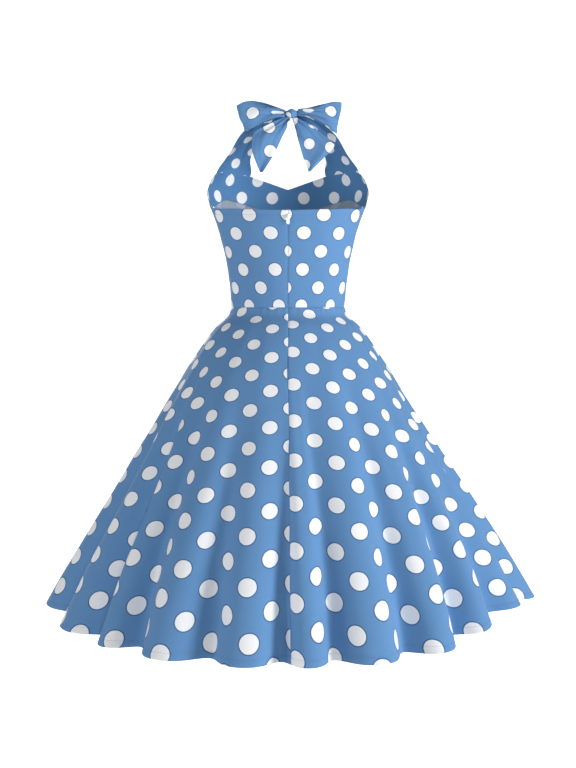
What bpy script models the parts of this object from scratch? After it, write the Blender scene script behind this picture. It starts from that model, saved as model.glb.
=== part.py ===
"""Halter-neck dress with a fitted bodice, a full flared skirt and a bow tied at the nape.

Metres, +Z up. The origin is the nape, where the neck carries the halter. The back of the dress faces -Y, its front
faces +Y, and +X is the wearer's right. Angles round the body are degrees from the centre back towards +X. Every
cloth piece is a grid of points worked out from the sizes below, given its wall by a Solidify modifier.
"""

from collections import namedtuple

import bmesh
import bpy
import numpy as np

# ---- Driving dimensions -------------------------------------------------------------------------------------------
WALL = 0.0015  # one layer of cloth, pressed
STRAP_WALL = 0.0020  # the straps and the bow are two layers, turned through
FACING_WALL = 0.0010
SEAM_GAP = 0.0003
LAYER_GAP = 0.0006  # between a panel and what lies on it, where both curve
AXIS_Y = 0.050  # the upright line through the middle of the torso, in front of the nape
WAIST_Z = -0.400
SKIRT_LENGTH = 0.730  # along the cloth, from the waist seam to the hem

# Half sizes of the torso at heights above the waist seam.
Section = namedtuple("Section", "height half_width back front")
TORSO = (
    Section(0.000, 0.118, 0.088, 0.092),
    Section(0.040, 0.120, 0.088, 0.094),
    Section(0.070, 0.1245, 0.090, 0.097),
    Section(0.100, 0.129, 0.092, 0.101),
    Section(0.130, 0.136, 0.095, 0.107),
    Section(0.160, 0.144, 0.098, 0.112),
    Section(0.190, 0.154, 0.101, 0.116),
    Section(0.215, 0.164, 0.103, 0.118),
    Section(0.240, 0.171, 0.104, 0.118),
    Section(0.265, 0.168, 0.104, 0.115),
    Section(0.290, 0.156, 0.103, 0.108),
    Section(0.310, 0.146, 0.102, 0.100),
)
CUP_ANGLE, CUP_SPREAD = 146.0, 20.0
CUP_HEIGHT, CUP_RISE = 0.190, 0.055
CUP_FULLNESS = 0.012

# The bodice's top edge and the facing's lower edge, by angle from the centre back, alike on both sides.
Edge = namedtuple("Edge", "angle height")
TOP_EDGE = (
    Edge(0.0, 0.1945),
    Edge(45.0, 0.1990),
    Edge(80.0, 0.2050),
    Edge(90.0, 0.2110),
    Edge(100.0, 0.2440),
    Edge(110.0, 0.2800),
    Edge(120.0, 0.2850),
    Edge(135.0, 0.2840),
    Edge(150.0, 0.2790),
    Edge(165.0, 0.2670),
    Edge(180.0, 0.2520),
)
FACING_EDGE = (
    Edge(90.0, 0.1960),
    Edge(105.0, 0.2080),
    Edge(115.0, 0.2160),
    Edge(130.0, 0.2270),
    Edge(147.0, 0.2200),
    Edge(160.0, 0.2100),
    Edge(180.0, 0.2020),
)
COLUMN = 5.0  # degrees between the columns of points on the bodice
SIDE_SEAM = 90.0
PRINCESS_SEAM = 150.0
FACING_SEAM = 130.0
STRAP_OUTER = 110.0
BACK_ROWS, FRONT_ROWS, FACING_ROWS = 6, 5, 3

# The skirt without its folds: half sizes by distance down the cloth.
Ring = namedtuple("Ring", "distance left right back front")
SKIRT = (
    Ring(0.000, 0.1180, 0.1180, 0.0880, 0.0920),
    Ring(0.010, 0.1200, 0.1200, 0.0910, 0.0940),
    Ring(0.050, 0.1470, 0.1470, 0.1200, 0.1180),
    Ring(0.148, 0.2040, 0.2030, 0.1770, 0.1740),
    Ring(0.242, 0.2520, 0.2510, 0.2230, 0.2270),
    Ring(0.359, 0.3080, 0.3120, 0.2800, 0.2890),
    Ring(0.476, 0.3640, 0.3710, 0.3370, 0.3510),
    Ring(0.593, 0.4210, 0.4290, 0.3930, 0.4120),
    Ring(0.730, 0.4820, 0.4890, 0.4530, 0.4770),
)
# The flutes, one row for each valley from the left side round by the back: its angle at the hem and at the waist,
# how far down it starts, how deep it is, and how far the crest after it stands out.
Flute = namedtuple("Flute", "hem waist start depth crest")
FLUTES = (
    Flute(-93.5, -92.9, 0.16, 0.90, 0.90),
    Flute(-71.0, -75.0, 0.12, 1.00, 0.95),
    Flute(-51.0, -61.0, 0.10, 1.15, 0.85),
    Flute(-38.0, -45.0, 0.11, 1.00, 1.10),
    Flute(-18.5, -24.0, 0.20, 0.95, 0.90),
    Flute(-1.5, -1.6, 0.18, 0.95, 0.80),
    Flute(10.5, 8.0, 0.13, 1.00, 1.10),
    Flute(28.0, 35.0, 0.10, 1.10, 0.95),
    Flute(43.0, 60.0, 0.14, 1.15, 0.75),
    Flute(55.0, 70.0, 0.40, 0.80, 0.95),
    Flute(70.0, 79.0, 0.15, 1.00, 1.00),
    Flute(87.2, 87.6, 0.17, 0.90, 0.85),
    Flute(104.0, 102.0, 0.13, 1.05, 0.90),
    Flute(118.0, 117.0, 0.24, 0.90, 0.80),
    Flute(131.0, 131.0, 0.12, 1.10, 1.05),
    Flute(146.0, 147.0, 0.18, 0.95, 0.90),
    Flute(160.0, 161.0, 0.11, 1.05, 0.85),
    Flute(173.0, 174.0, 0.26, 0.90, 1.05),
    Flute(188.0, 187.0, 0.13, 1.10, 0.95),
    Flute(202.0, 201.0, 0.21, 0.90, 1.00),
    Flute(217.0, 215.0, 0.12, 1.05, 0.80),
    Flute(230.0, 229.0, 0.28, 0.85, 0.90),
    Flute(243.0, 244.0, 0.14, 1.10, 0.95),
    Flute(257.0, 258.0, 0.18, 0.95, 0.85),
)
FLUTE_REACH = 0.024  # out from the mean ring to a crest, at the hem
VALLEY_REACH = 0.031  # in from the mean ring to a valley, at the hem
FLUTE_GROWTH = 1.15  # the power of the distance that a flute's depth grows by
CREST_BREADTH = 0.07  # how much a full crest is broadened, as a share of its flute
# How the hem hangs unevenly: at an angle and over a spread, how far it stands above its even level.
Hang = namedtuple("Hang", "angle spread rise")
HANGS = (Hang(0.0, 50.0, -0.015), Hang(62.0, 16.0, 0.044), Hang(90.0, 16.0, 0.036), Hang(-87.0, 24.0, 0.022))
FLUTE_STEPS = 6  # columns in one flute
LEFT_SEAM_STEP = 1  # each seam of the skirt runs one column past a valley
BACK_SEAM_STEP = 5 * FLUTE_STEPS + 1
RIGHT_SEAM_STEP = 11 * FLUTE_STEPS + 1

# The straps, from the chest to the knot: the edge by the neck and the edge by the shoulder, on the wearer's right.
Strap = namedtuple("Strap", "neck_x neck_y neck_z arm_x arm_y arm_z")
STRAPS = (
    Strap(0.0800, 0.1250, -0.0920, 0.1340, 0.0850, -0.0950),
    Strap(0.0710, 0.0920, -0.0670, 0.1165, 0.0620, -0.0710),
    Strap(0.0534, 0.0550, -0.0455, 0.0925, 0.0380, -0.0425),
    Strap(0.0321, 0.0220, -0.0280, 0.0610, 0.0150, -0.0155),
    Strap(0.0190, 0.0040, -0.0200, 0.0270, 0.0020, -0.0010),
    Strap(0.0000, -0.0010, -0.0150, 0.0000, -0.0010, -0.0010),
)
STRAP_LEAD = 0.008  # the straps carry the bodice's line this far up before they lean back
STRAP_END = 0.0006  # half the gap between the straps under the knot

KNOT = (0.0072, -0.0143, -0.0078)
KNOT_RADII = (0.0125, 0.0120, 0.0095)

# The bow's loops, by share of the way from the knot to the outer fold: top and bottom edges, and half the hollow.
Loop = namedtuple("Loop", "share top bottom hollow")
LOOP_LEFT = (
    Loop(0.00, -0.0010, -0.0140, 0.0030),
    Loop(0.25, 0.0080, -0.0150, 0.0070),
    Loop(0.50, 0.0165, -0.0230, 0.0110),
    Loop(0.75, 0.0185, -0.0350, 0.0120),
    Loop(1.00, 0.0080, -0.0430, 0.0110),
)
LOOP_RIGHT = (
    Loop(0.00, 0.0010, -0.0120, 0.0030),
    Loop(0.25, 0.0060, -0.0150, 0.0070),
    Loop(0.50, 0.0110, -0.0220, 0.0110),
    Loop(0.75, 0.0150, -0.0350, 0.0120),
    Loop(1.00, 0.0145, -0.0480, 0.0110),
)
LOOP_Y = -0.0160
LOOP_LEFT_X = (-0.0058, -0.1050, -0.0880)  # at the knot, at the top corner, at the bottom corner
LOOP_RIGHT_X = (0.0201, 0.1085, 0.0985)
LOOP_STEPS, LOOP_ROWS = 16, 4

# The bow's tails, from the knot to the tip: both edges and how far back they hang.
Tail = namedtuple("Tail", "left_x left_z right_x right_z y")
TAIL_LEFT = (
    Tail(-0.0030, -0.0154, 0.0050, -0.0180, -0.0150),
    Tail(-0.0340, -0.0290, -0.0010, -0.0330, -0.0180),
    Tail(-0.0660, -0.0440, -0.0100, -0.0520, -0.0200),
    Tail(-0.0727, -0.0620, -0.0215, -0.0776, -0.0220),
    Tail(-0.0703, -0.0900, -0.0330, -0.0980, -0.0235),
    Tail(-0.0560, -0.1270, -0.0510, -0.1260, -0.0250),
)
TAIL_RIGHT = (
    Tail(0.0090, -0.0181, 0.0170, -0.0158, -0.0150),
    Tail(0.0140, -0.0370, 0.0470, -0.0310, -0.0180),
    Tail(0.0190, -0.0550, 0.0720, -0.0510, -0.0200),
    Tail(0.0236, -0.0715, 0.0880, -0.0670, -0.0215),
    Tail(0.0310, -0.0980, 0.0900, -0.0790, -0.0230),
    Tail(0.0420, -0.1260, 0.0460, -0.1240, -0.0250),
)
TAIL_COLUMNS = 6
TAIL_SWELL = 0.005

# The concealed zip at the centre back.
ZIP_TAPE_HALF = 0.009
ZIP_TAPE_WALL = 0.0010
ZIP_TOP_DROP = 0.004
ZIP_SKIRT_ROWS = 4  # it runs this many rows of points into the skirt
SLIDER_SIZE = (0.0070, 0.0018, 0.0090)
SLIDER_DROP = 0.0110  # its middle, below the top edge
BRIDGE_HEIGHT, BRIDGE_REACH, BRIDGE_WIRE = 0.0052, 0.0026, 0.0010
PULL_WIDTH, PULL_LENGTH, PULL_WALL = 0.0056, 0.0170, 0.0010
PULL_EYE = (0.0026, 0.0042)  # the window round the bridge: width, and length below the crossbar

PRINT_BLUE = (0.113, 0.280, 0.584)
FACING_BLUE = (0.050, 0.135, 0.300)
METAL = (0.620, 0.640, 0.660)
TAPE_BLUE = (0.100, 0.250, 0.520)


# ---- Shapes -------------------------------------------------------------------------------------------------------
def column(table, name):
    """One named column of a table, as an array."""
    return np.array([getattr(row, name) for row in table])


def smooth(at, xs, ys):
    """A curve through the points (xs, ys), read at the given places: cubics with matched slopes."""
    slopes = np.gradient(ys, xs)
    left = np.clip(np.searchsorted(xs, at) - 1, 0, len(xs) - 2)
    step = xs[left + 1] - xs[left]
    t = (at - xs[left]) / step
    ends = (1 + 2 * t) * (1 - t) ** 2 * ys[left] + t**2 * (3 - 2 * t) * ys[left + 1]
    return ends + step * (t * (1 - t) ** 2 * slopes[left] - t**2 * (1 - t) * slopes[left + 1])


def from_back(angle):
    """The angle from the centre back, 0 to 180 degrees on either side."""
    return np.abs((angle + 180.0) % 360.0 - 180.0)


def torso(angle, height):
    """Points of the torso: an ellipse at each height, with a soft mound for each cup."""
    heights = column(TORSO, "height")
    half_width = smooth(height, heights, column(TORSO, "half_width"))
    back = smooth(height, heights, column(TORSO, "back"))
    front = smooth(height, heights, column(TORSO, "front"))
    turn = np.radians(angle)
    across = (from_back(angle) - CUP_ANGLE) / CUP_SPREAD
    fullness = CUP_FULLNESS * np.exp(-(across**2) - ((height - CUP_HEIGHT) / CUP_RISE) ** 2)
    depth = np.where(np.cos(turn) > 0, back, front) + fullness
    x = (half_width + fullness) * np.sin(turn)
    return np.stack([x, AXIS_Y - depth * np.cos(turn), WAIST_Z + height], axis=-1)


def edge_height(edge, angle):
    """The height of a cut edge at an angle."""
    return smooth(from_back(angle), column(edge, "angle"), column(edge, "height"))


def angles(start, stop):
    """The bodice's columns from one seam to another."""
    return np.linspace(start, stop, round(abs(stop - start) / COLUMN) + 1)


def back_heights(angle):
    """Rows of heights on the back, from the waist seam to the top edge."""
    return np.linspace(0.0, 1.0, BACK_ROWS + 1)[:, None] * edge_height(TOP_EDGE, angle)


def facing_heights(angle):
    """Rows of heights on the facing, from its lower edge to the neckline."""
    share = np.linspace(0.0, 1.0, FACING_ROWS + 1)[:, None]
    low = edge_height(FACING_EDGE, angle)
    return low + share * (edge_height(TOP_EDGE, angle) - low)


def front_heights(angle):
    """Rows of heights on the front: the same rows as the facing's over its reach, and plain rows below."""
    below = np.linspace(0.0, 1.0, FRONT_ROWS + 1)[:-1, None] * edge_height(FACING_EDGE, angle)
    return np.concatenate([below, facing_heights(angle)])


def normals(points):
    """Unit normals of a grid of points, from its rows and columns."""
    cross = np.cross(np.gradient(points, axis=1), np.gradient(points, axis=0))
    return cross / np.linalg.norm(cross, axis=-1, keepdims=True)


def moved_in(points, distance):
    """A grid of points on the torso moved in from it, square to the cloth."""
    normal = normals(points)
    outwards = points - np.array([0.0, AXIS_Y, 0.0])
    side = np.sign(np.sum(normal[..., :2] * outwards[..., :2], axis=-1, keepdims=True))
    return points - distance * side * normal


def drawn_back(points, **edges):
    """The grid with its named edges drawn back along its rows or columns, each by its own distance."""
    points = points.copy()
    pairs = {"low": (np.s_[0], np.s_[1]), "high": (np.s_[-1], np.s_[-2])}
    pairs.update(first=(np.s_[:, 0], np.s_[:, 1]), last=(np.s_[:, -1], np.s_[:, -2]))
    for name, distance in edges.items():
        edge, inner = pairs[name]
        along = points[inner] - points[edge]
        points[edge] += distance * along / np.linalg.norm(along, axis=-1, keepdims=True)
    return points


def flute_growth(distance):
    """How much of its full depth each valley has at each distance down the cloth."""
    start = column(FLUTES, "start")
    share = (distance[:, None] - start) / (SKIRT_LENGTH - start)
    return np.clip(share, 0.0, 1.0) ** FLUTE_GROWTH


def skirt(distance):
    """Rings of the fluted skirt at distances down the cloth.

    A flute swings from its valley out to its crest and in to the next valley as a cosine. The height falls by
    what each step down the cloth has left after the mean ring's step outwards, so the flutes leave the hem level.
    """
    count = len(FLUTES)
    share = np.arange(FLUTE_STEPS) / FLUTE_STEPS
    ease = smooth(distance / SKIRT_LENGTH, np.array([0.0, 0.5, 1.0]), np.array([0.0, 0.62, 1.0]))
    valley = column(FLUTES, "waist") + ease[:, None] * (column(FLUTES, "hem") - column(FLUTES, "waist"))
    after = np.concatenate([valley[:, 1:], valley[:, :1] + 360.0], axis=1)
    turn = np.radians(valley[..., None] + (after - valley)[..., None] * share)
    growth = flute_growth(distance)
    depth = growth * column(FLUTES, "depth")
    both = (growth + np.roll(growth, -1, axis=1)) / 2
    crest = both * column(FLUTES, "crest")
    inwards = depth[..., None] + (np.roll(depth, -1, axis=1) - depth)[..., None] * share
    swung = share + CREST_BREADTH * both[..., None] * np.sin(2 * np.pi * share)
    wave = (1 - np.cos(2 * np.pi * swung)) / 2
    offset = FLUTE_REACH * wave * crest[..., None] - VALLEY_REACH * (1 - wave) * inwards
    places = column(SKIRT, "distance")
    left = smooth(distance, places, column(SKIRT, "left"))[:, None, None]
    right = smooth(distance, places, column(SKIRT, "right"))[:, None, None]
    back = smooth(distance, places, column(SKIRT, "back"))[:, None, None]
    front = smooth(distance, places, column(SKIRT, "front"))[:, None, None]
    depth_there = np.where(np.cos(turn) > 0, back, front)
    size = len(distance), count * FLUTE_STEPS
    width_there = np.where(np.sin(turn) > 0, right, left)
    even = np.stack([width_there * np.sin(turn), -depth_there * np.cos(turn)], axis=-1)
    outwards = np.linalg.norm(np.diff(even.reshape(*size, 2), axis=0), axis=-1)
    drop = np.sqrt(np.diff(distance)[:, None] ** 2 - outwards**2)
    z = WAIST_Z - np.concatenate([np.zeros((1, drop.shape[1])), np.cumsum(drop, axis=0)])
    around = (np.degrees(turn).reshape(size) + 180.0) % 360.0 - 180.0
    for hang in HANGS:
        rise = hang.rise * np.exp(-(((around - hang.angle) / hang.spread) ** 2))
        z += rise * (distance[:, None] / SKIRT_LENGTH) ** 2
    x = even[..., 0] + offset * np.sin(turn)
    y = AXIS_Y + even[..., 1] - offset * np.cos(turn)
    return np.stack([x.reshape(size), y.reshape(size), z], axis=-1)


SKIRT_ROWS = np.array([0.0, 0.010, 0.055, 0.140, 0.250, 0.380, 0.540, SKIRT_LENGTH])


def strap(side):
    """The strap on one side (+1 is the wearer's right): rows from the bodice's top edge to the knot."""
    base_angle = side * angles(PRINCESS_SEAM, STRAP_OUTER)
    top = edge_height(TOP_EDGE, base_angle)
    root = moved_in(torso(base_angle, np.stack([top, top + STRAP_LEAD])), (STRAP_WALL - WALL) / 2 + 0.0004)
    share = np.linspace(0.0, 1.0, len(base_angle))[:, None]
    neck = np.array([(s.neck_x, s.neck_y, s.neck_z) for s in STRAPS])
    arm = np.array([(s.arm_x, s.arm_y, s.arm_z) for s in STRAPS])
    rows = neck[:, None] + share * (arm - neck)[:, None]
    straight = root[1, :1] + share * (root[1, -1:] - root[1, :1])
    bend = (root[1] - straight) * np.array([side, 1.0, 1.0])
    fade = np.linspace(0.75, 0.0, len(STRAPS))[:, None, None]
    rows = rows + fade * bend
    rows = rows * np.array([side, 1.0, 1.0])
    rows[-1, :, 0] = KNOT[0] + side * STRAP_END
    return np.concatenate([root, rows])


def bow_loop(table, reach):
    """A loop of the bow: the band leaves the knot, turns over the outer fold and comes back behind itself."""
    knot_x, top_x, bottom_x = reach
    turn = np.linspace(0.0, np.pi, LOOP_STEPS + 1)[:, None]
    up = np.linspace(0.0, 1.0, LOOP_ROWS + 1)
    share = np.sin(turn)
    top = smooth(share, column(table, "share"), column(table, "top"))
    bottom = smooth(share, column(table, "share"), column(table, "bottom"))
    hollow = smooth(share, column(table, "share"), column(table, "hollow"))
    x = knot_x + (bottom_x + up * (top_x - bottom_x) - knot_x) * share
    y = LOOP_Y - hollow * np.cos(turn) + 0 * up
    return np.stack([x, y, bottom + up * (top - bottom)], axis=-1)


def bow_tail(table):
    """A tail of the bow: rows across the tie from the knot to its pointed end, crowned a little."""
    share = np.linspace(0.0, 1.0, TAIL_COLUMNS + 1)
    left_x, left_z, right_x, right_z, y = (column(table, name)[:, None] for name in Tail._fields)
    swell = TAIL_SWELL * np.sin(np.pi * share) * np.sin(np.linspace(0.0, np.pi, len(table)))[:, None]
    x = left_x + share * (right_x - left_x)
    return np.stack([x, y - swell, left_z + share * (right_z - left_z)], axis=-1)


def zip_line():
    """Points down the centre back seam, from just under the top edge into the skirt."""
    top = edge_height(TOP_EDGE, np.array(0.0))
    heights = np.linspace(1.0, 0.0, BACK_ROWS + 1)[:-1] * top
    heights[0] -= ZIP_TOP_DROP
    bodice = torso(np.zeros_like(heights), heights)
    below = skirt(SKIRT_ROWS)[:ZIP_SKIRT_ROWS, BACK_SEAM_STEP]
    return np.concatenate([bodice, below])


def zip_tape_points():
    """The zip's tapes: a flat band behind the centre back seam, square to it."""
    line = zip_line()
    along = np.gradient(line[:, 1:], axis=0)
    along /= np.linalg.norm(along, axis=-1, keepdims=True)
    inwards = np.stack([0 * along[:, 0], -along[:, 1], along[:, 0]], axis=-1)
    clear = WALL / 2 + SEAM_GAP + ZIP_TAPE_WALL / 2 + ZIP_TAPE_HALF**2 / (2 * 0.080)
    middle = line + inwards * clear * 1.15
    sides = np.array([-1.0, 0.0, 1.0]) * ZIP_TAPE_HALF
    return middle[:, None] + sides[:, None] * np.array([1.0, 0.0, 0.0])


# ---- Blender objects ----------------------------------------------------------------------------------------------
def material(name, colour, roughness, metallic=0.0):
    """A plain finish."""
    made = bpy.data.materials.new(name)
    made.use_nodes = True
    shader = made.node_tree.nodes["Principled BSDF"]
    shader.inputs["Base Color"].default_value = (*colour, 1.0)
    shader.inputs["Roughness"].default_value = roughness
    shader.inputs["Metallic"].default_value = metallic
    return made


def mesh_object(name, shape, collection, finish):
    """An object in the collection holding the bmesh, with its own material."""
    mesh = bpy.data.meshes.new(name)
    shape.to_mesh(mesh)
    shape.free()
    mesh.materials.append(material(name, *finish))
    made = bpy.data.objects.new(name, mesh)
    collection.objects.link(made)
    return made


def cloth(name, points, collection, wall=WALL, colour=PRINT_BLUE):
    """A cloth piece: a grid laid on the points, with half its wall to either side."""
    rows, columns = points.shape[:2]
    shape = bmesh.new()
    bmesh.ops.create_grid(shape, x_segments=columns - 1, y_segments=rows - 1, size=0.5)
    for vert in shape.verts:
        row, place = round((vert.co.y + 0.5) * (rows - 1)), round((vert.co.x + 0.5) * (columns - 1))
        vert.co = points[row, place]
    bmesh.ops.recalc_face_normals(shape, faces=shape.faces)
    made = mesh_object(name, shape, collection, (colour, 0.75))
    made.data.shade_smooth()
    thicken = made.modifiers.new("wall", "SOLIDIFY")
    thicken.thickness = wall
    thicken.offset = 0.0
    return made


def make_bodice(collection):
    """The two backs, the centre front and the two side fronts."""
    half = SEAM_GAP / 2
    for name, side in (("left", -1), ("right", 1)):
        turn = side * angles(0.0, SIDE_SEAM)
        points = torso(turn, back_heights(turn))
        cloth(f"bodice_back_{name}", drawn_back(points, low=half, first=half, last=half), collection)
        turn = side * angles(SIDE_SEAM, PRINCESS_SEAM)
        points = torso(turn, front_heights(turn))
        points = drawn_back(points, low=half, high=half, first=half, last=half)
        cloth(f"bodice_side_front_{name}", points, collection)
    turn = angles(PRINCESS_SEAM, 360.0 - PRINCESS_SEAM)
    points = torso(turn, front_heights(turn))
    cloth("bodice_front_centre", drawn_back(points, low=half, first=half, last=half), collection)


def make_facings(collection):
    """The facing inside the neckline: one piece across the front and one at each side."""
    clear = WALL / 2 + LAYER_GAP + FACING_WALL / 2
    spans = (
        ("facing_front", angles(FACING_SEAM, 360.0 - FACING_SEAM)),
        ("facing_side_left", -angles(SIDE_SEAM, FACING_SEAM)),
        ("facing_side_right", angles(SIDE_SEAM, FACING_SEAM)),
    )
    for name, turn in spans:
        points = moved_in(torso(turn, facing_heights(turn)), clear)
        points = drawn_back(points, high=SEAM_GAP / 2, first=SEAM_GAP / 2, last=SEAM_GAP / 2)
        cloth(name, points, collection, FACING_WALL, FACING_BLUE)


def make_straps(collection):
    """The halter's straps."""
    for name, side in (("left", -1), ("right", 1)):
        points = drawn_back(strap(side), low=SEAM_GAP / 2)
        cloth(f"strap_{name}", points, collection, STRAP_WALL)


def make_bow(collection):
    """The knot, the loops and the tails."""
    shape = bmesh.new()
    bmesh.ops.create_uvsphere(shape, u_segments=16, v_segments=10, radius=1.0)
    for vert in shape.verts:
        vert.co = np.array(KNOT) + np.array(KNOT_RADII) * np.array(vert.co)
    mesh_object("bow_knot", shape, collection, (PRINT_BLUE, 0.75)).data.shade_smooth()
    cloth("bow_loop_left", bow_loop(LOOP_LEFT, LOOP_LEFT_X), collection, STRAP_WALL)
    cloth("bow_loop_right", bow_loop(LOOP_RIGHT, LOOP_RIGHT_X), collection, STRAP_WALL)
    cloth("bow_tail_left", bow_tail(TAIL_LEFT), collection, STRAP_WALL)
    cloth("bow_tail_right", bow_tail(TAIL_RIGHT), collection, STRAP_WALL)


def make_skirt(collection):
    """The skirt's front and its two backs, hung from the waist seam."""
    ring = skirt(SKIRT_ROWS)
    half = SEAM_GAP / 2
    spans = (
        ("skirt_back_left", LEFT_SEAM_STEP, BACK_SEAM_STEP),
        ("skirt_back_right", BACK_SEAM_STEP, RIGHT_SEAM_STEP),
        ("skirt_front", RIGHT_SEAM_STEP, LEFT_SEAM_STEP + ring.shape[1]),
    )
    for name, start, stop in spans:
        panel = ring[:, np.arange(start, stop + 1) % ring.shape[1]]
        cloth(name, drawn_back(panel, low=2 * half, first=half, last=half), collection)


def box(shape, size, centre):
    """Add a box to the bmesh."""
    made = bmesh.ops.create_cube(shape, size=1.0)
    for vert in made["verts"]:
        vert.co = np.array(centre) + np.array(size) * np.array(vert.co)


def joined(name, pieces, collection, finish):
    """One body from overlapping boxes, each given by its size and centre."""
    base = None
    for size, centre in pieces:
        shape = bmesh.new()
        box(shape, size, centre)
        made = mesh_object(name if base is None else f"{name}_add", shape, collection, finish)
        if base is None:
            base = made
            continue
        union = base.modifiers.new("join", "BOOLEAN")
        union.operation = "UNION"
        union.object = made
        bpy.context.view_layer.update()
        solid = bpy.data.meshes.new_from_object(base.evaluated_get(bpy.context.evaluated_depsgraph_get()))
        base.modifiers.clear()
        base.data = solid
        bpy.data.objects.remove(made)
    base.data.name = name
    return base


def make_zip(collection):
    """The tapes behind the seam, the slider at the top of the seam, and the pull that hangs on its bridge."""
    cloth("zip_tape", zip_tape_points(), collection, ZIP_TAPE_WALL, TAPE_BLUE)
    height = edge_height(TOP_EDGE, np.array(0.0)) - SLIDER_DROP
    z = WAIST_Z + height
    proudest = torso(np.array(0.0), height + SLIDER_SIZE[2] / 2)[1]  # the back leans out towards its top edge
    face_y = proudest - WALL / 2 - SEAM_GAP - SLIDER_SIZE[1]
    bar_y = face_y - BRIDGE_REACH + BRIDGE_WIRE / 2
    leg = (BRIDGE_WIRE, BRIDGE_REACH + 0.0004, BRIDGE_WIRE)
    leg_y = face_y - BRIDGE_REACH / 2 + 0.0002
    leg_z = (BRIDGE_HEIGHT - BRIDGE_WIRE) / 2
    slider = (
        (SLIDER_SIZE, (0.0, face_y + SLIDER_SIZE[1] / 2, z)),
        (leg, (0.0, leg_y, z + leg_z)),
        (leg, (0.0, leg_y, z - leg_z)),
        ((BRIDGE_WIRE, BRIDGE_WIRE, BRIDGE_HEIGHT), (0.0, bar_y, z)),
    )
    joined("zip_slider", slider, collection, (METAL, 0.35, 0.9))
    eye_width, eye_length = PULL_EYE
    arm = (PULL_WIDTH - eye_width) / 2
    pull = (
        ((PULL_WIDTH, PULL_WALL * 0.8, PULL_WALL * 0.8), (0.0, 0.0, 0.0)),
        ((arm, PULL_WALL * 0.8, eye_length + 0.0010), ((eye_width + arm) / 2, 0.0, -(eye_length + 0.0004) / 2)),
        ((arm, PULL_WALL * 0.8, eye_length + 0.0010), (-(eye_width + arm) / 2, 0.0, -(eye_length + 0.0004) / 2)),
        (
            (PULL_WIDTH * 0.94, PULL_WALL, PULL_LENGTH - eye_length),
            (0.0, 0.0, -(PULL_LENGTH + eye_length) / 2),
        ),
    )
    made = joined("zip_pull", pull, collection, (METAL, 0.35, 0.9))
    made.location = (0.0, face_y - (BRIDGE_REACH - BRIDGE_WIRE) / 2, z)


def main():
    for old in list(bpy.data.objects):
        bpy.data.objects.remove(old)
    dress = bpy.data.collections.new("halter_dress")
    bpy.context.scene.collection.children.link(dress)
    make_bodice(dress)
    make_facings(dress)
    make_straps(dress)
    make_bow(dress)
    make_skirt(dress)
    make_zip(dress)


main()
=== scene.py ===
"""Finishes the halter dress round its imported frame: cloth, print, seams, zip, bow, light and camera.

Metres, +Z up. The origin is the nape; the back of the dress faces -Y and +X is the wearer's right.
Angles round the body are degrees from the centre back towards +X.
"""

import math
from collections import namedtuple

import bpy
import numpy as np
from bpy.props import FloatProperty, FloatVectorProperty, IntProperty, PointerProperty
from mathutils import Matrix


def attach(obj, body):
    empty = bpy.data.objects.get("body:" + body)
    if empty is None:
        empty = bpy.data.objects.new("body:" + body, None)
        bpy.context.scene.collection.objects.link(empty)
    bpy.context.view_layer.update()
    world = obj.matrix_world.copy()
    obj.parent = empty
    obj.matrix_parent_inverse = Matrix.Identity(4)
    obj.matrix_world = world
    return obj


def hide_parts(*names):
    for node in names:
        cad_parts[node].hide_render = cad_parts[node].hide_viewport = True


bl_info = {
    "name": "Halter dress finish",
    "version": (1, 0, 0),
    "blender": (4, 5, 0),
    "location": "3D View > Sidebar > Dress",
    "description": "Builds the cloth, print, seams, bow and zip of a halter dress round its frame",
    "category": "Object",
}

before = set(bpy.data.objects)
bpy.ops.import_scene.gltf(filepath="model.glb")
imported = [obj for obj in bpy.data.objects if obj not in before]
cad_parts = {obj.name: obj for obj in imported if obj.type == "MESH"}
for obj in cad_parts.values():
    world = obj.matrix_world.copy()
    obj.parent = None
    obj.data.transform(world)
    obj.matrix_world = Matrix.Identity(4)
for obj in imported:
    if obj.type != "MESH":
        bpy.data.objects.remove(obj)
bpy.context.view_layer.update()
BODY = "dress"
PULL_BODY = "zip_pull"

# ---- Sizes of the garment -----------------------------------------------------------------------------
AXIS_Y = 0.050  # the middle of the body, towards the front from the nape
WAIST_Z = -0.400  # the waist seam, below the nape
SKIRT_LENGTH = 0.730  # from the waist seam to the hem, along the cloth

# Ovals of the torso at heights above the waist: half the width, and the depth to the back and to the front.
Section = namedtuple("Section", "height half_width back front")
TORSO = (
    Section(0.000, 0.118, 0.088, 0.092),
    Section(0.040, 0.120, 0.088, 0.094),
    Section(0.070, 0.1245, 0.090, 0.097),
    Section(0.100, 0.129, 0.092, 0.101),
    Section(0.130, 0.136, 0.095, 0.107),
    Section(0.160, 0.144, 0.098, 0.112),
    Section(0.190, 0.154, 0.101, 0.116),
    Section(0.215, 0.164, 0.103, 0.118),
    Section(0.240, 0.171, 0.104, 0.118),
    Section(0.265, 0.168, 0.104, 0.115),
    Section(0.290, 0.156, 0.103, 0.108),
    Section(0.310, 0.146, 0.102, 0.100),
)
CUP_ANGLE, CUP_SPREAD = 146.0, 20.0  # where each cup's mound is round the body, and how far it spreads
CUP_HEIGHT, CUP_RISE = 0.190, 0.055  # the same up the body
CUP_FULLNESS = 0.012  # how far a cup stands out

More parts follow.
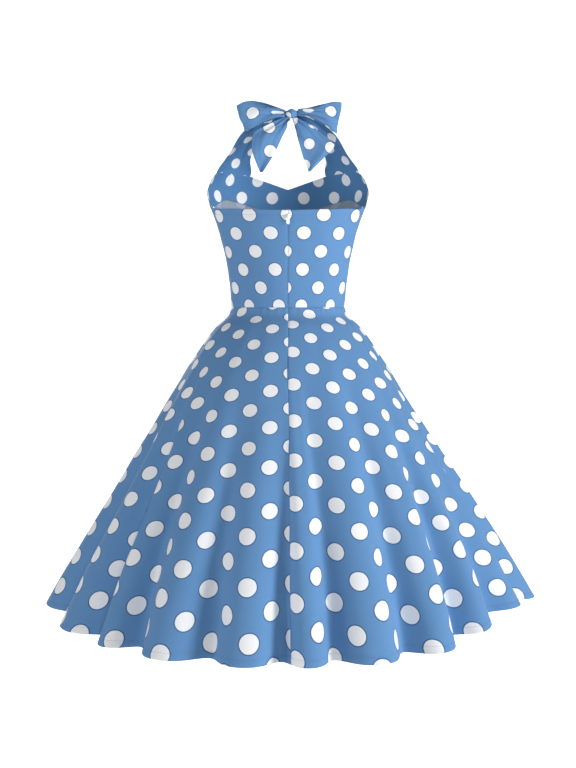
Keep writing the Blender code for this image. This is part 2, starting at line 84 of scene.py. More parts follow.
# Cut edges, as a height above the waist at each angle from the centre back.
Edge = namedtuple("Edge", "angle height")
TOP_EDGE = (
    Edge(0.0, 0.1945),
    Edge(45.0, 0.1990),
    Edge(80.0, 0.2050),
    Edge(90.0, 0.2110),
    Edge(100.0, 0.2440),
    Edge(110.0, 0.2800),
    Edge(120.0, 0.2850),
    Edge(135.0, 0.2840),
    Edge(150.0, 0.2790),
    Edge(165.0, 0.2670),
    Edge(180.0, 0.2520),
)
FACING_EDGE = (
    Edge(90.0, 0.1960),
    Edge(105.0, 0.2080),
    Edge(115.0, 0.2160),
    Edge(130.0, 0.2270),
    Edge(147.0, 0.2200),
    Edge(160.0, 0.2100),
    Edge(180.0, 0.2020),
)
SIDE_SEAM, PRINCESS_SEAM, FACING_SEAM, STRAP_OUTER = 90.0, 150.0, 130.0, 110.0  # angles from the centre back

# Mean rings of the skirt at distances down the cloth: the reach to the left, right, back and front.
Ring = namedtuple("Ring", "distance left right back front")
SKIRT = (
    Ring(0.000, 0.1180, 0.1180, 0.0880, 0.0920),
    Ring(0.010, 0.1200, 0.1200, 0.0910, 0.0940),
    Ring(0.050, 0.1470, 0.1470, 0.1200, 0.1180),
    Ring(0.148, 0.2040, 0.2030, 0.1770, 0.1740),
    Ring(0.242, 0.2520, 0.2510, 0.2230, 0.2270),
    Ring(0.359, 0.3080, 0.3120, 0.2800, 0.2890),
    Ring(0.476, 0.3640, 0.3710, 0.3370, 0.3510),
    Ring(0.593, 0.4210, 0.4290, 0.3930, 0.4120),
    Ring(0.730, 0.4820, 0.4890, 0.4530, 0.4770),
)
# The flutes, one row for each valley from the left side round by the back: its angle at the hem and
# at the waist, how far down it starts, how deep it is, and how far the crest after it stands out.
Flute = namedtuple("Flute", "hem waist start depth crest")
FLUTES = (
    Flute(-93.5, -92.9, 0.16, 0.90, 0.90),
    Flute(-71.0, -75.0, 0.12, 1.00, 0.95),
    Flute(-51.0, -61.0, 0.10, 1.15, 0.85),
    Flute(-38.0, -45.0, 0.11, 1.00, 1.10),
    Flute(-18.5, -24.0, 0.20, 0.95, 0.90),
    Flute(-1.5, -1.6, 0.18, 0.95, 0.80),
    Flute(10.5, 8.0, 0.13, 1.00, 1.10),
    Flute(28.0, 35.0, 0.10, 1.10, 0.95),
    Flute(43.0, 60.0, 0.14, 1.15, 0.75),
    Flute(55.0, 70.0, 0.40, 0.80, 0.95),
    Flute(70.0, 79.0, 0.15, 1.00, 1.00),
    Flute(87.2, 87.6, 0.17, 0.90, 0.85),
    Flute(104.0, 102.0, 0.13, 1.05, 0.90),
    Flute(118.0, 117.0, 0.24, 0.90, 0.80),
    Flute(131.0, 131.0, 0.12, 1.10, 1.05),
    Flute(146.0, 147.0, 0.18, 0.95, 0.90),
    Flute(160.0, 161.0, 0.11, 1.05, 0.85),
    Flute(173.0, 174.0, 0.26, 0.90, 1.05),
    Flute(188.0, 187.0, 0.13, 1.10, 0.95),
    Flute(202.0, 201.0, 0.21, 0.90, 1.00),
    Flute(217.0, 215.0, 0.12, 1.05, 0.80),
    Flute(230.0, 229.0, 0.28, 0.85, 0.90),
    Flute(243.0, 244.0, 0.14, 1.10, 0.95),
    Flute(257.0, 258.0, 0.18, 0.95, 0.85),
)
FLUTE_REACH, VALLEY_REACH = 0.024, 0.031  # from the mean ring out to a crest and in to a valley, at the hem
FLUTE_GROWTH = 1.15  # the power of the distance that a flute's depth grows by
CREST_BREADTH = 0.07  # how much wider a crest is than a plain cosine's
# Where the hem hangs lower or higher than level: round an angle, over a spread, by how much.
Hang = namedtuple("Hang", "angle spread rise")
HANGS = (
    Hang(0.0, 50.0, -0.015),
    Hang(62.0, 16.0, 0.044),
    Hang(90.0, 16.0, 0.036),
    Hang(-87.0, 24.0, 0.022),
)
SEAM_SHARE = 1.0 / 6.0  # each seam of the skirt runs this share of a flute past a valley
LEFT_SEAM, BACK_SEAM, RIGHT_SEAM = SEAM_SHARE, 5 + SEAM_SHARE, 11 + SEAM_SHARE

# Guides across the right strap, from the chest to the knot: its end by the neck and its end by the arm.
Strap = namedtuple("Strap", "neck_x neck_y neck_z arm_x arm_y arm_z")
STRAPS = (
    Strap(0.0800, 0.1250, -0.0920, 0.1340, 0.0850, -0.0950),
    Strap(0.0710, 0.0920, -0.0670, 0.1165, 0.0620, -0.0710),
    Strap(0.0534, 0.0550, -0.0455, 0.0925, 0.0380, -0.0425),
    Strap(0.0321, 0.0220, -0.0280, 0.0610, 0.0150, -0.0155),
    Strap(0.0190, 0.0040, -0.0200, 0.0270, 0.0020, -0.0010),
    Strap(0.0000, -0.0010, -0.0150, 0.0000, -0.0010, -0.0010),
)
STRAP_LEAD = 0.008  # the strap goes straight on from the bodice for this far
STRAP_END = 0.0006  # each strap stops this far from the knot's middle

KNOT = (0.0072, -0.0143, -0.0078)  # the knot's middle
KNOT_RADII = (0.0125, 0.0120, 0.0095)

# The bow's loops by share of the way out to the fold: both edges' heights, and half the hollow's depth.
Loop = namedtuple("Loop", "share top bottom hollow")
LOOP_LEFT = (
    Loop(0.00, -0.0010, -0.0140, 0.0030),
    Loop(0.25, 0.0080, -0.0150, 0.0070),
    Loop(0.50, 0.0165, -0.0230, 0.0110),
    Loop(0.75, 0.0185, -0.0350, 0.0120),
    Loop(1.00, 0.0080, -0.0430, 0.0110),
)
LOOP_RIGHT = (
    Loop(0.00, 0.0010, -0.0120, 0.0030),
    Loop(0.25, 0.0060, -0.0150, 0.0070),
    Loop(0.50, 0.0110, -0.0220, 0.0110),
    Loop(0.75, 0.0150, -0.0350, 0.0120),
    Loop(1.00, 0.0145, -0.0480, 0.0110),
)
LOOP_Y = -0.0160  # the loops' middle, behind the nape
LOOP_LEFT_X = (-0.0058, -0.1050, -0.0880)  # at the knot, at the top corner, at the bottom corner
LOOP_RIGHT_X = (0.0201, 0.1085, 0.0985)

# The bow's tails, from the knot to the point: both edges seen from behind, and where they hang front to back.
Tail = namedtuple("Tail", "left_x left_z right_x right_z y")
TAIL_LEFT = (
    Tail(-0.0030, -0.0154, 0.0050, -0.0180, -0.0150),
    Tail(-0.0340, -0.0290, -0.0010, -0.0330, -0.0180),
    Tail(-0.0660, -0.0440, -0.0100, -0.0520, -0.0200),
    Tail(-0.0727, -0.0620, -0.0215, -0.0776, -0.0220),
    Tail(-0.0703, -0.0900, -0.0330, -0.0980, -0.0235),
    Tail(-0.0560, -0.1270, -0.0510, -0.1260, -0.0250),
)
TAIL_RIGHT = (
    Tail(0.0090, -0.0181, 0.0170, -0.0158, -0.0150),
    Tail(0.0140, -0.0370, 0.0470, -0.0310, -0.0180),
    Tail(0.0190, -0.0550, 0.0720, -0.0510, -0.0200),
    Tail(0.0236, -0.0715, 0.0880, -0.0670, -0.0215),
    Tail(0.0310, -0.0980, 0.0900, -0.0790, -0.0230),
    Tail(0.0420, -0.1260, 0.0460, -0.1240, -0.0250),
)
TAIL_SWELL = 0.005  # how far a tail's middle bows outwards

# ---- Sizes of the finish ------------------------------------------------------------------------------
SEAM_GAP = 0.0003  # between pieces that meet at a seam
EDGE_STEPS = np.array([0.0, 0.0006, 0.0014, 0.0026, 0.0045])  # columns close to a seam, in metres from it
SEAM_ROLL, SEAM_ROLL_REACH = 0.0010, 0.0018  # how far a sewn edge turns in, and over what width
FACING_SINK = 0.0019  # the facing's middle, in from the shell's
STRAP_SINK, STRAP_TUCK = 0.0011, 0.0040  # the strap lies between shell and facing, this far down
HEM_TURN, HEM_FOLD = 0.014, 0.0013  # height of the turned hem, and the fold's thickness between middles
TOP_TURN, TOP_STITCH_DROP = 0.013, 0.0105  # the back's turned top edge, and its stitches below the edge
BOW_EDGE = 0.0004  # the rounding of a turned-through edge
ALLOWANCE_WALL, ALLOWANCE_SPRING = 0.0007, 0.0007  # of a pressed seam allowance; how far its edges stand off


# ---- Property groups ----------------------------------------------------------------------------------
def length_property(name, description, default):
    """A length in metres."""
    return FloatProperty(name=name, description=description, default=default, unit="LENGTH")


class DressCloth(bpy.types.PropertyGroup):
    """Walls of the cloth and fineness of its surfaces."""

    shell: length_property("Shell", "Wall of the outer cloth", 0.0008)
    facing: length_property("Facing", "Wall of the facing", 0.0007)
    double: length_property("Double", "Wall of the straps and bow", 0.0013)
    torso_step: length_property("Torso step", "Size of the bodice's mesh", 0.0030)
    flute_columns: IntProperty(name="Flute columns", description="Columns of points in one flute", default=22)
    skirt_rows: IntProperty(name="Skirt rows", description="Rows of points down the skirt", default=110)


def colour_property(name, description, default):
    """A colour setting."""
    return FloatVectorProperty(name=name, description=description, subtype="COLOR", size=4, default=default)


def power_property(name, description, default):
    """The power of a light."""
    return FloatProperty(name=name, description=description, default=default, unit="POWER")


class DressPrint(bpy.types.PropertyGroup):
    """Colours and sizes of the dotted print."""

    blue: colour_property("Ground", "The cloth's blue", (0.125, 0.290, 0.560, 1.0))
    # The facing ground is the cloth's blue darkened: painted shade for the inside of the neckline and the
    # straps' inner sides.
    shaded_blue: colour_property("Shaded ground", "The blue darkened for painted shade inside", (0.090, 0.240, 0.480, 1.0))
    rim_blue: colour_property("Dot edge", "The darker line round a dot", (0.035, 0.110, 0.280, 1.0))
    white: colour_property("Dots", "The dots' white", (0.93, 0.95, 0.98, 1.0))
    wrong_side: colour_property("Wrong side", "The back of the cloth", (0.30, 0.36, 0.44, 1.0))
    dot: length_property("Dot", "Diameter of a dot", 0.0258)
    across: length_property("Repeat across", "The print's repeat across the cloth", 0.0700)
    along: length_property("Repeat along", "The print's repeat along the cloth", 0.0735)
    rim: length_property("Dot edge width", "Width of the darker line round a dot", 0.0015)


class DressStage(bpy.types.PropertyGroup):
    """Camera, light and floor."""

    distance: length_property("Distance", "Camera to dress", 3.07)
    eye: length_property("Eye height", "Camera height from the nape", -0.385)
    pitch: FloatProperty(name="Pitch", description="Degrees that the camera looks down", default=3.27)
    lens: FloatProperty(name="Lens", description="Focal length in millimetres", default=68.9)
    floor: length_property("Floor", "Floor height from the nape", -1.42)
    key: power_property("Key", "The light from the right", 165.0)
    fill: power_property("Fill", "The light from the left", 74.0)
    front: power_property("Front", "The light by the camera", 44.0)
    far: power_property("Far", "The light on the front of the dress", 110.0)
    paper_glow: FloatProperty(name="Paper glow", description="Brightness of the backdrop itself", default=1.0)
    sky: FloatProperty(name="Sky", description="Strength of the white surround", default=0.08)


# ---- Surfaces -----------------------------------------------------------------------------------------
def column(table, name):
    """One named column of a table, as an array."""
    return np.array([getattr(row, name) for row in table])


def smooth(at, xs, ys):
    """A curve through (xs, ys), read at the given places: cubics between the points, their slopes matched."""
    slopes = np.gradient(ys, xs, axis=0)
    left = np.clip(np.searchsorted(xs, at) - 1, 0, len(xs) - 2)
    step = xs[left + 1] - xs[left]
    t = (at - xs[left]) / step
    if ys.ndim > 1:
        extra = (...,) + (None,) * (ys.ndim - 1)
        step, t = step[extra], t[extra]
    ends = (1 + 2 * t) * (1 - t) ** 2 * ys[left] + t**2 * (3 - 2 * t) * ys[left + 1]
    return ends + step * (t * (1 - t) ** 2 * slopes[left] - t**2 * (1 - t) * slopes[left + 1])


def sine(turns):
    """The sine of an angle counted in whole turns."""
    return np.sin(2 * np.pi * turns)


def from_back(angle):
    """The angle from the centre back, 0 to 180 degrees on either side."""
    return np.abs((angle + 180.0) % 360.0 - 180.0)


def torso(angle, height):
    """Points of the torso: an ellipse at each height, plus a bell-shaped mound for each cup."""
    heights = column(TORSO, "height")
    half_width = smooth(height, heights, column(TORSO, "half_width"))
    back = smooth(height, heights, column(TORSO, "back"))
    front = smooth(height, heights, column(TORSO, "front"))
    turn = np.radians(angle)
    across = (from_back(angle) - CUP_ANGLE) / CUP_SPREAD
    fullness = CUP_FULLNESS * np.exp(-(across**2) - ((height - CUP_HEIGHT) / CUP_RISE) ** 2)
    depth = np.where(np.cos(turn) > 0, back, front) + fullness
    x = (half_width + fullness) * np.sin(turn)
    return np.stack([x, AXIS_Y - depth * np.cos(turn), WAIST_Z + height], axis=-1)


def edge_height(edge, angle):
    """The height of a cut edge at an angle, read from its table."""
    return smooth(from_back(angle), column(edge, "angle"), column(edge, "height"))


def lengths(points, axis):
    """Distance along each grid line from its start: the running sum of the steps between points."""
    steps = np.linalg.norm(np.diff(points, axis=axis), axis=-1)
    start = np.zeros_like(np.take(steps, [0], axis=axis))
    return np.concatenate([start, np.cumsum(steps, axis=axis)], axis=axis)


def normals(points):
    """Unit normals of a grid: the cross product of its two directions, over its length."""
    cross = np.cross(np.gradient(points, axis=1), np.gradient(points, axis=0))
    return cross / np.maximum(np.linalg.norm(cross, axis=-1, keepdims=True), 1e-12)


def outward(points):
    """The grid's normals, turned to point away from the dress's axis."""
    normal = normals(points)
    away = points[..., :2] - np.array([0.0, AXIS_Y])
    return normal * np.sign(np.sum(normal[..., :2] * away))


def respaced(points, count):
    """The grid with its columns respaced along each row: a few close to both ends, the rest even."""
    arc = lengths(points, 1)
    total = arc[:, -1:]
    near = EDGE_STEPS[None]
    even = near[:, -1:] + (total - 2 * near[:, -1:]) * np.linspace(0, 1, count)[None, 1:-1]
    at = np.concatenate([near + 0 * total, even, total - near[:, ::-1]], axis=1)
    rows = [[np.interp(a, s, p[:, k]) for k in range(3)] for a, s, p in zip(at, arc, points)]
    return np.array(rows).transpose(0, 2, 1), at


def bell(distance, reach):
    """1 at no distance, falling away as a bell over the reach."""
    return np.exp(-((distance / reach) ** 2))


def ripples(u, v, seed, waves, amplitude):
    """Slight unevenness of hanging cloth: a sum of sine waves, with drawn phases and lengths.

    Each wave is a sine of u over its length, bent by a sine of v and made stronger and weaker along v;
    the share says how much of the amplitude it takes.
    """
    draw = np.random.default_rng(seed)
    total = 0.0
    for length_u, length_v, share in waves:
        spread = draw.uniform(0.8, 1.25, 2)
        phase = draw.uniform(0, 2 * np.pi, 2)
        bent = 0.8 * np.sin(2 * np.pi * v / length_v)
        wave = np.sin(2 * np.pi * u / (length_u * spread[0]) + phase[0] + bent)
        total = total + share * wave * (0.6 + 0.4 * np.sin(2 * np.pi * v / (length_v * spread[1]) + phase[1]))
    return amplitude * total


def turned_under(points, cloth, depth, fold):
    """The grid with its last rows repeated behind it, back from the edge by the depth: a turned hem.

    The fold's crown lies past the edge by half the fold's thickness and in by as much.
    """
    inwards = -outward(points)
    back = np.mean(lengths(points, 0)[-1:] - lengths(points, 0), axis=1)
    rows = int(np.sum(back <= depth))
    past = points[-1] - points[-2]
    past = past / np.linalg.norm(past, axis=-1, keepdims=True)
    crown = points[-1] + (past + inwards[-1]) * fold / 2
    behind = (points + inwards * fold)[::-1][:rows]
    last = cloth[-1]
    mirrored = last + (last - cloth[::-1][:rows]) + (last - cloth[-2]) / np.maximum(1, rows)
    crown_cloth = last + (last - cloth[-2]) / np.maximum(2, 2 * rows)
    return np.concatenate([points, crown[None], behind]), np.concatenate([cloth, crown_cloth[None], mirrored])


# ---- Meshes -------------------------------------------------------------------------------------------
def grid_faces(rows, columns):
    """Four-sided faces of a grid of points, row by row."""
    corner = (np.arange(rows - 1)[:, None] * columns + np.arange(columns - 1)).ravel()
    return np.stack([corner, corner + 1, corner + columns + 1, corner + columns], axis=-1)


def mesh_of(name, points, faces, cloth=None):
    """A mesh from arrays of points and faces, with the cloth's own coordinates, in metres, as its UV map."""
    mesh = bpy.data.meshes.new(name)
    mesh.from_pydata(points.reshape(-1, 3).tolist(), [], faces.tolist())
    if cloth is not None:
        layer = mesh.uv_layers.new(name="Cloth")
        corner = np.empty(len(mesh.loops), dtype=np.int32)
        mesh.loops.foreach_get("vertex_index", corner)
        layer.data.foreach_set("uv", cloth.reshape(-1, 2)[corner].ravel().astype(np.float32))
    mesh.shade_smooth()
    mesh.update()
    return mesh


def placed(name, mesh, materials):
    """An object for the mesh, at the origin, with its materials."""
    for material in materials:
        mesh.materials.append(material)
    made = bpy.data.objects.new(name, mesh)
    bpy.context.scene.collection.objects.link(made)
    return made


def sheet_piece(name, points, cloth, wall, finishes, outer=None, bevel=0.0):
    """A cloth piece: the grid as a mesh facing outwards, half its wall to either side.

    The first finish is the right side's and the edge's, and the second the wrong side's. Faces look
    the way of the normals given, or away from the dress's axis.
    """
    faces = grid_faces(*points.shape[:2])
    flat = points.reshape(-1, 3)
    corners = flat[faces]
    facing = np.cross(corners[:, 2] - corners[:, 0], corners[:, 3] - corners[:, 1])
    guide = outward(points) if outer is None else outer
    if np.sum(facing * guide.reshape(-1, 3)[faces[:, 0]]) < 0:
        faces = faces[:, ::-1]
    made = placed(name, mesh_of(name, points, faces, cloth), [bpy.data.materials[f] for f in finishes])
    thicken = made.modifiers.new("Wall", "SOLIDIFY")
    thicken.thickness = wall
    thicken.offset = 0.0
    thicken.material_offset = len(finishes) - 1
    thicken.material_offset_rim = 0
    if bevel:
        rounded = made.modifiers.new("Edge", "BEVEL")
        rounded.width = bevel
        rounded.segments = 2
        rounded.limit_method = "ANGLE"
        rounded.angle_limit = math.radians(50)
    return made


def stitches(name, path, normal, finish, pitch=0.0032, radius=0.00022, lift=0.00012):
    """Sewn stitches along a path: short round-ended threads at a pitch, each bowed a little off the cloth.

    A stitch is rings of points round its own line; its radius swells from its ends as a half sine.
    """
    arc = lengths(path[:, None], 0)[:, 0]
    count = max(2, int(arc[-1] / pitch))
    middle = (np.arange(count) + 0.5) * arc[-1] / count
    along = np.linspace(-1.0, 1.0, 5)
    at = middle[:, None] + along * 0.38 * pitch
    line = np.stack([np.interp(at, arc, path[:, k]) for k in range(3)], axis=-1)
    up = np.stack([np.interp(at, arc, normal[:, k]) for k in range(3)], axis=-1)
    way = np.gradient(line, axis=1)
    way /= np.linalg.norm(way, axis=-1, keepdims=True)
    side = np.cross(way, up)
    line = line + up * (lift + radius * (0.9 - 1.1 * along**2))[:, None]
    swell = radius * np.sqrt(np.maximum(1.0 - along**4, 0.06))
    turn = np.linspace(0, 2 * np.pi, 7)[:-1]
    ring = side[:, :, None] * np.cos(turn)[:, None] + up[:, :, None] * np.sin(turn)[:, None]
    points = line[:, :, None] + ring * swell[:, None, None]
    corner = np.arange(count * 5 * 6).reshape(count, 5, 6)
    beside = np.roll(corner, -1, axis=2)
    faces = np.stack([corner[:, :-1], beside[:, :-1], beside[:, 1:], corner[:, 1:]], axis=-1).reshape(-1, 4)
    return placed(name, mesh_of(name, points, faces), [bpy.data.materials[finish]])


def declare(piece, body=BODY, node=None):
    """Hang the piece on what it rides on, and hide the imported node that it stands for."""
    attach(piece, body)
    if node:
        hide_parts(node)


# ---- Node groups and materials ------------------------------------------------------------------------
def new_group(name, inputs, outputs):
    """An empty shader group with named sockets: inputs as (name, type, default), outputs as (name, type)."""
    tree = bpy.data.node_groups.new(name, "ShaderNodeTree")
    for label, kind, default in inputs:
        socket = tree.interface.new_socket(label, in_out="INPUT", socket_type=kind)
        if default is not None:
            socket.default_value = default
    for label, kind in outputs:
        tree.interface.new_socket(label, in_out="OUTPUT", socket_type=kind)
    return tree, tree.nodes.new("NodeGroupInput"), tree.nodes.new("NodeGroupOutput")


def math_node(tree, operation, first, second=None, third=None):
    """A Math node; each operand is a socket or a number."""
    node = tree.nodes.new("ShaderNodeMath")
    node.operation = operation
    for socket, value in zip(node.inputs, (first, second, third)):
        if value is None:
            continue
        if isinstance(value, (int, float)):
            socket.default_value = value
        else:
            tree.links.new(value, socket)
    return node.outputs[0]


def vector_node(tree, operation, first, second=None):
    """A Vector Math node; each operand is a socket or a triple."""
    node = tree.nodes.new("ShaderNodeVectorMath")
    node.operation = operation
    for socket, value in zip(node.inputs, (first, second)):
        if value is None:
            continue
        if isinstance(value, tuple):
            socket.default_value = value
        else:
            tree.links.new(value, socket)
    return node.outputs["Value"] if operation == "LENGTH" else node.outputs["Vector"]


def soft_step(tree, value, middle, width):
    """1 below the middle and 0 above it, eased over the width to either side; the middle may be a socket."""
    node = tree.nodes.new("ShaderNodeMapRange")
    node.interpolation_type = "SMOOTHSTEP"
    tree.links.new(value, node.inputs["Value"])
    tree.links.new(math_node(tree, "SUBTRACT", middle, width), node.inputs["From Min"])
    tree.links.new(math_node(tree, "ADD", middle, width), node.inputs["From Max"])
    node.inputs["To Min"].default_value = 1.0
    node.inputs["To Max"].default_value = 0.0
    return node.outputs["Result"]


def dot_print_group():
    """Dots on a staggered lattice: the distance to the nearest of two grids of centres, cut at a radius."""
    tree, source, sink = new_group(
        "Dot print",
        (
            ("Cloth", "NodeSocketVector", None),
            ("Repeat", "NodeSocketVector", (0.07, 0.0735, 1.0)),
            ("Dot", "NodeSocketFloat", 0.0258),
            ("Edge", "NodeSocketFloat", 0.0009),
        ),
        (("Dots", "NodeSocketFloat"), ("Rim", "NodeSocketFloat")),
    )
    uneven = tree.nodes.new("ShaderNodeTexNoise")
    uneven.inputs["Scale"].default_value = 260.0
    tree.links.new(source.outputs["Cloth"], uneven.inputs["Vector"])
    shifted = vector_node(tree, "SUBTRACT", uneven.outputs["Color"], (0.5, 0.5, 0.5))
    shifted = vector_node(tree, "MULTIPLY", shifted, (0.0007, 0.0007, 0.0))
    place = vector_node(tree, "ADD", source.outputs["Cloth"], shifted)
    nearest = []
    for shift in ((0.5, 0.5, 0.0), (0.0, 0.0, 0.0)):
        cell = vector_node(tree, "DIVIDE", place, source.outputs["Repeat"])
        cell = vector_node(tree, "FRACTION", vector_node(tree, "ADD", cell, shift))
        cell = vector_node(tree, "SUBTRACT", cell, (0.5, 0.5, 0.0))
        cell = vector_node(tree, "MULTIPLY", cell, source.outputs["Repeat"])
        nearest.append(vector_node(tree, "LENGTH", vector_node(tree, "MULTIPLY", cell, (1.0, 1.0, 0.0))))
    distance = math_node(tree, "MINIMUM", *nearest)
    radius = math_node(tree, "MULTIPLY", source.outputs["Dot"], 0.5)
    dots = soft_step(tree, distance, radius, 0.0003)
    ring = soft_step(tree, distance, math_node(tree, "ADD", radius, source.outputs["Edge"]), 0.0005)
    tree.links.new(dots, sink.inputs["Dots"])
    tree.links.new(math_node(tree, "SUBTRACT", ring, dots), sink.inputs["Rim"])
    return tree


def weave_group():
    """A plain weave: the product of a sine across and a sine along, with slubs from a stretched noise."""
    tree, source, sink = new_group(
        "Plain weave",
        (("Cloth", "NodeSocketVector", None), ("Threads", "NodeSocketFloat", 1900.0)),
        (("Height", "NodeSocketFloat"), ("Tone", "NodeSocketFloat")),
    )
    split = tree.nodes.new("ShaderNodeSeparateXYZ")
    tree.links.new(source.outputs["Cloth"], split.inputs[0])
    turns = math_node(tree, "MULTIPLY", source.outputs["Threads"], 2 * math.pi)
    across = math_node(tree, "SINE", math_node(tree, "MULTIPLY", split.outputs["X"], turns))
    along = math_node(tree, "SINE", math_node(tree, "MULTIPLY", split.outputs["Y"], turns))
    woven = math_node(tree, "MULTIPLY", across, along)
    slubs = []
    for stretch in ((60.0, 900.0, 1.0), (900.0, 60.0, 1.0)):
        noise = tree.nodes.new("ShaderNodeTexNoise")
        noise.inputs["Scale"].default_value = 1.0
        noise.inputs["Detail"].default_value = 2.0
        stretched = vector_node(tree, "MULTIPLY", source.outputs["Cloth"], stretch)
        tree.links.new(stretched, noise.inputs["Vector"])
        slubs.append(noise.outputs["Fac"])
    slub = math_node(tree, "ADD", *slubs)
    tree.links.new(math_node(tree, "MULTIPLY_ADD", woven, 0.35, slub), sink.inputs["Height"])
    cloudy = tree.nodes.new("ShaderNodeTexNoise")
    cloudy.inputs["Scale"].default_value = 14.0
    cloudy.inputs["Detail"].default_value = 3.0
    tree.links.new(source.outputs["Cloth"], cloudy.inputs["Vector"])
    tone = math_node(tree, "MULTIPLY_ADD", cloudy.outputs["Fac"], 0.10, 0.95)
    fine = math_node(tree, "MULTIPLY_ADD", slub, 0.06, 0.94)
    tree.links.new(math_node(tree, "MULTIPLY", tone, fine), sink.inputs["Tone"])
    return tree


def placed_group(tree, group, **values):
    """A group node in the tree, its inputs set from numbers, triples or sockets."""
    node = tree.nodes.new("ShaderNodeGroup")
    node.node_tree = group
    for label, value in values.items():
        socket = node.inputs[label]
        if isinstance(value, (int, float, tuple)):
            socket.default_value = value
        else:
            tree.links.new(value, socket)
    return node


def mixed(tree, factor, first, second):
    """A colour mix; each colour is a socket or four numbers."""
    node = tree.nodes.new("ShaderNodeMix")
    node.data_type = "RGBA"
    tree.links.new(factor, node.inputs["Factor"])
    for socket, value in zip((node.inputs[6], node.inputs[7]), (first, second)):
        if isinstance(value, bpy.types.NodeSocket):
            tree.links.new(value, socket)
        else:
            socket.default_value = tuple(value)
    return node.outputs[2]


def toned(tree, colour, tone):
    """A colour darkened or lightened by the tone."""
    node = tree.nodes.new("ShaderNodeMix")
    node.data_type = "RGBA"
    node.blend_type = "MULTIPLY"
    node.inputs["Factor"].default_value = 1.0
    tree.links.new(colour, node.inputs[6])
    grey = tree.nodes.new("ShaderNodeCombineColor")
    for socket in grey.inputs:
        tree.links.new(tone, socket)
    tree.links.new(grey.outputs[0], node.inputs[7])
    return node.outputs[2]


def plain_material(name, colour, roughness, metallic=0.0):
    """A material with its shader's constants set; returns it with its tree and shader."""
    material = bpy.data.materials.new(name)
    material.use_nodes = True
    shader = material.node_tree.nodes["Principled BSDF"]
    shader.inputs["Base Color"].default_value = tuple(colour)
    shader.inputs["Roughness"].default_value = roughness
    shader.inputs["Metallic"].default_value = metallic
    return material, material.node_tree, shader


def woven_relief(tree, shader, woven, strength):
    """The weave's height as a bump on the shader."""
    bump = tree.nodes.new("ShaderNodeBump")
    bump.inputs["Strength"].default_value = strength
    bump.inputs["Distance"].default_value = 0.0002
    tree.links.new(woven.outputs["Height"], bump.inputs["Height"])
    tree.links.new(bump.outputs["Normal"], shader.inputs["Normal"])


def printed_cloth(name, ground, dots, rim, settings, sheen):
    """Woven cloth with the dotted print, from the piece's own cloth coordinates."""
    material, tree, shader = plain_material(name, ground, 0.82)
    cloth = tree.nodes.new("ShaderNodeUVMap")
    cloth.uv_map = "Cloth"
    dotted = placed_group(
        tree,
        bpy.data.node_groups["Dot print"],
        Cloth=cloth.outputs["UV"],
        Repeat=(settings.across, settings.along, 1.0),
        Dot=settings.dot,
        Edge=settings.rim,
    )
    woven = placed_group(tree, bpy.data.node_groups["Plain weave"], Cloth=cloth.outputs["UV"])
    colour = mixed(tree, dotted.outputs["Rim"], ground, rim)
    colour = mixed(tree, dotted.outputs["Dots"], colour, dots)
    tree.links.new(toned(tree, colour, woven.outputs["Tone"]), shader.inputs["Base Color"])
    woven_relief(tree, shader, woven, 0.25)
    shader.inputs["Sheen Weight"].default_value = sheen
    shader.inputs["Sheen Roughness"].default_value = 0.45
    shader.inputs["Specular IOR Level"].default_value = 0.25
    return material


def woven_plain(name, colour, roughness, threads):
    """Undyed or plain woven stuff, such as zip tape and thread."""
    material, tree, shader = plain_material(name, colour, roughness)
    place = tree.nodes.new("ShaderNodeTexCoord").outputs["Object"]
    woven = placed_group(tree, bpy.data.node_groups["Plain weave"], Cloth=place, Threads=float(threads))
    colour_node = tree.nodes.new("ShaderNodeRGB")
    colour_node.outputs[0].default_value = tuple(colour)
    tree.links.new(toned(tree, colour_node.outputs[0], woven.outputs["Tone"]), shader.inputs["Base Color"])
    woven_relief(tree, shader, woven, 0.4)
    return material


def lacquered_metal():
    """Pale lacquered metal, rubbed a little unevenly."""
    material, tree, shader = plain_material("Lacquered metal", (0.74, 0.78, 0.84, 1.0), 0.3, 0.55)
    place = tree.nodes.new("ShaderNodeTexCoord")
    rubbed = tree.nodes.new("ShaderNodeTexNoise")
    rubbed.inputs["Scale"].default_value = 900.0
    tree.links.new(place.outputs["Object"], rubbed.inputs["Vector"])
    rough = math_node(tree, "MULTIPLY_ADD", rubbed.outputs["Fac"], 0.25, 0.2)
    tree.links.new(rough, shader.inputs["Roughness"])
    shader.inputs["Coat Weight"].default_value = 0.4
    return material


# ---- The bodice and its facing ------------------------------------------------------------------------
Panel = namedtuple("Panel", "points cloth at up")  # a grid, its print, and its distances across and up
# The facing's pieces between their seams, each with its flat cut and where its print starts.
Facing = namedtuple("Facing", "name start stop flat area middle across")
FACINGS = (
    Facing("facing_front", FACING_SEAM, 360.0 - FACING_SEAM, (0.265, 0.085), 0.0168, 0.5, 0.0),
    Facing("facing_side_left", -FACING_SEAM, -SIDE_SEAM, (0.098, 0.090), 0.0049, 0.0, 0.1460),
    Facing("facing_side_right", FACING_SEAM, SIDE_SEAM, (0.098, 0.090), 0.0049, 0.0, 0.1460),
)
BODICE_PRINT_RISE, FACING_PRINT_RISE = 0.0335, 0.0232  # the print's height at the waist


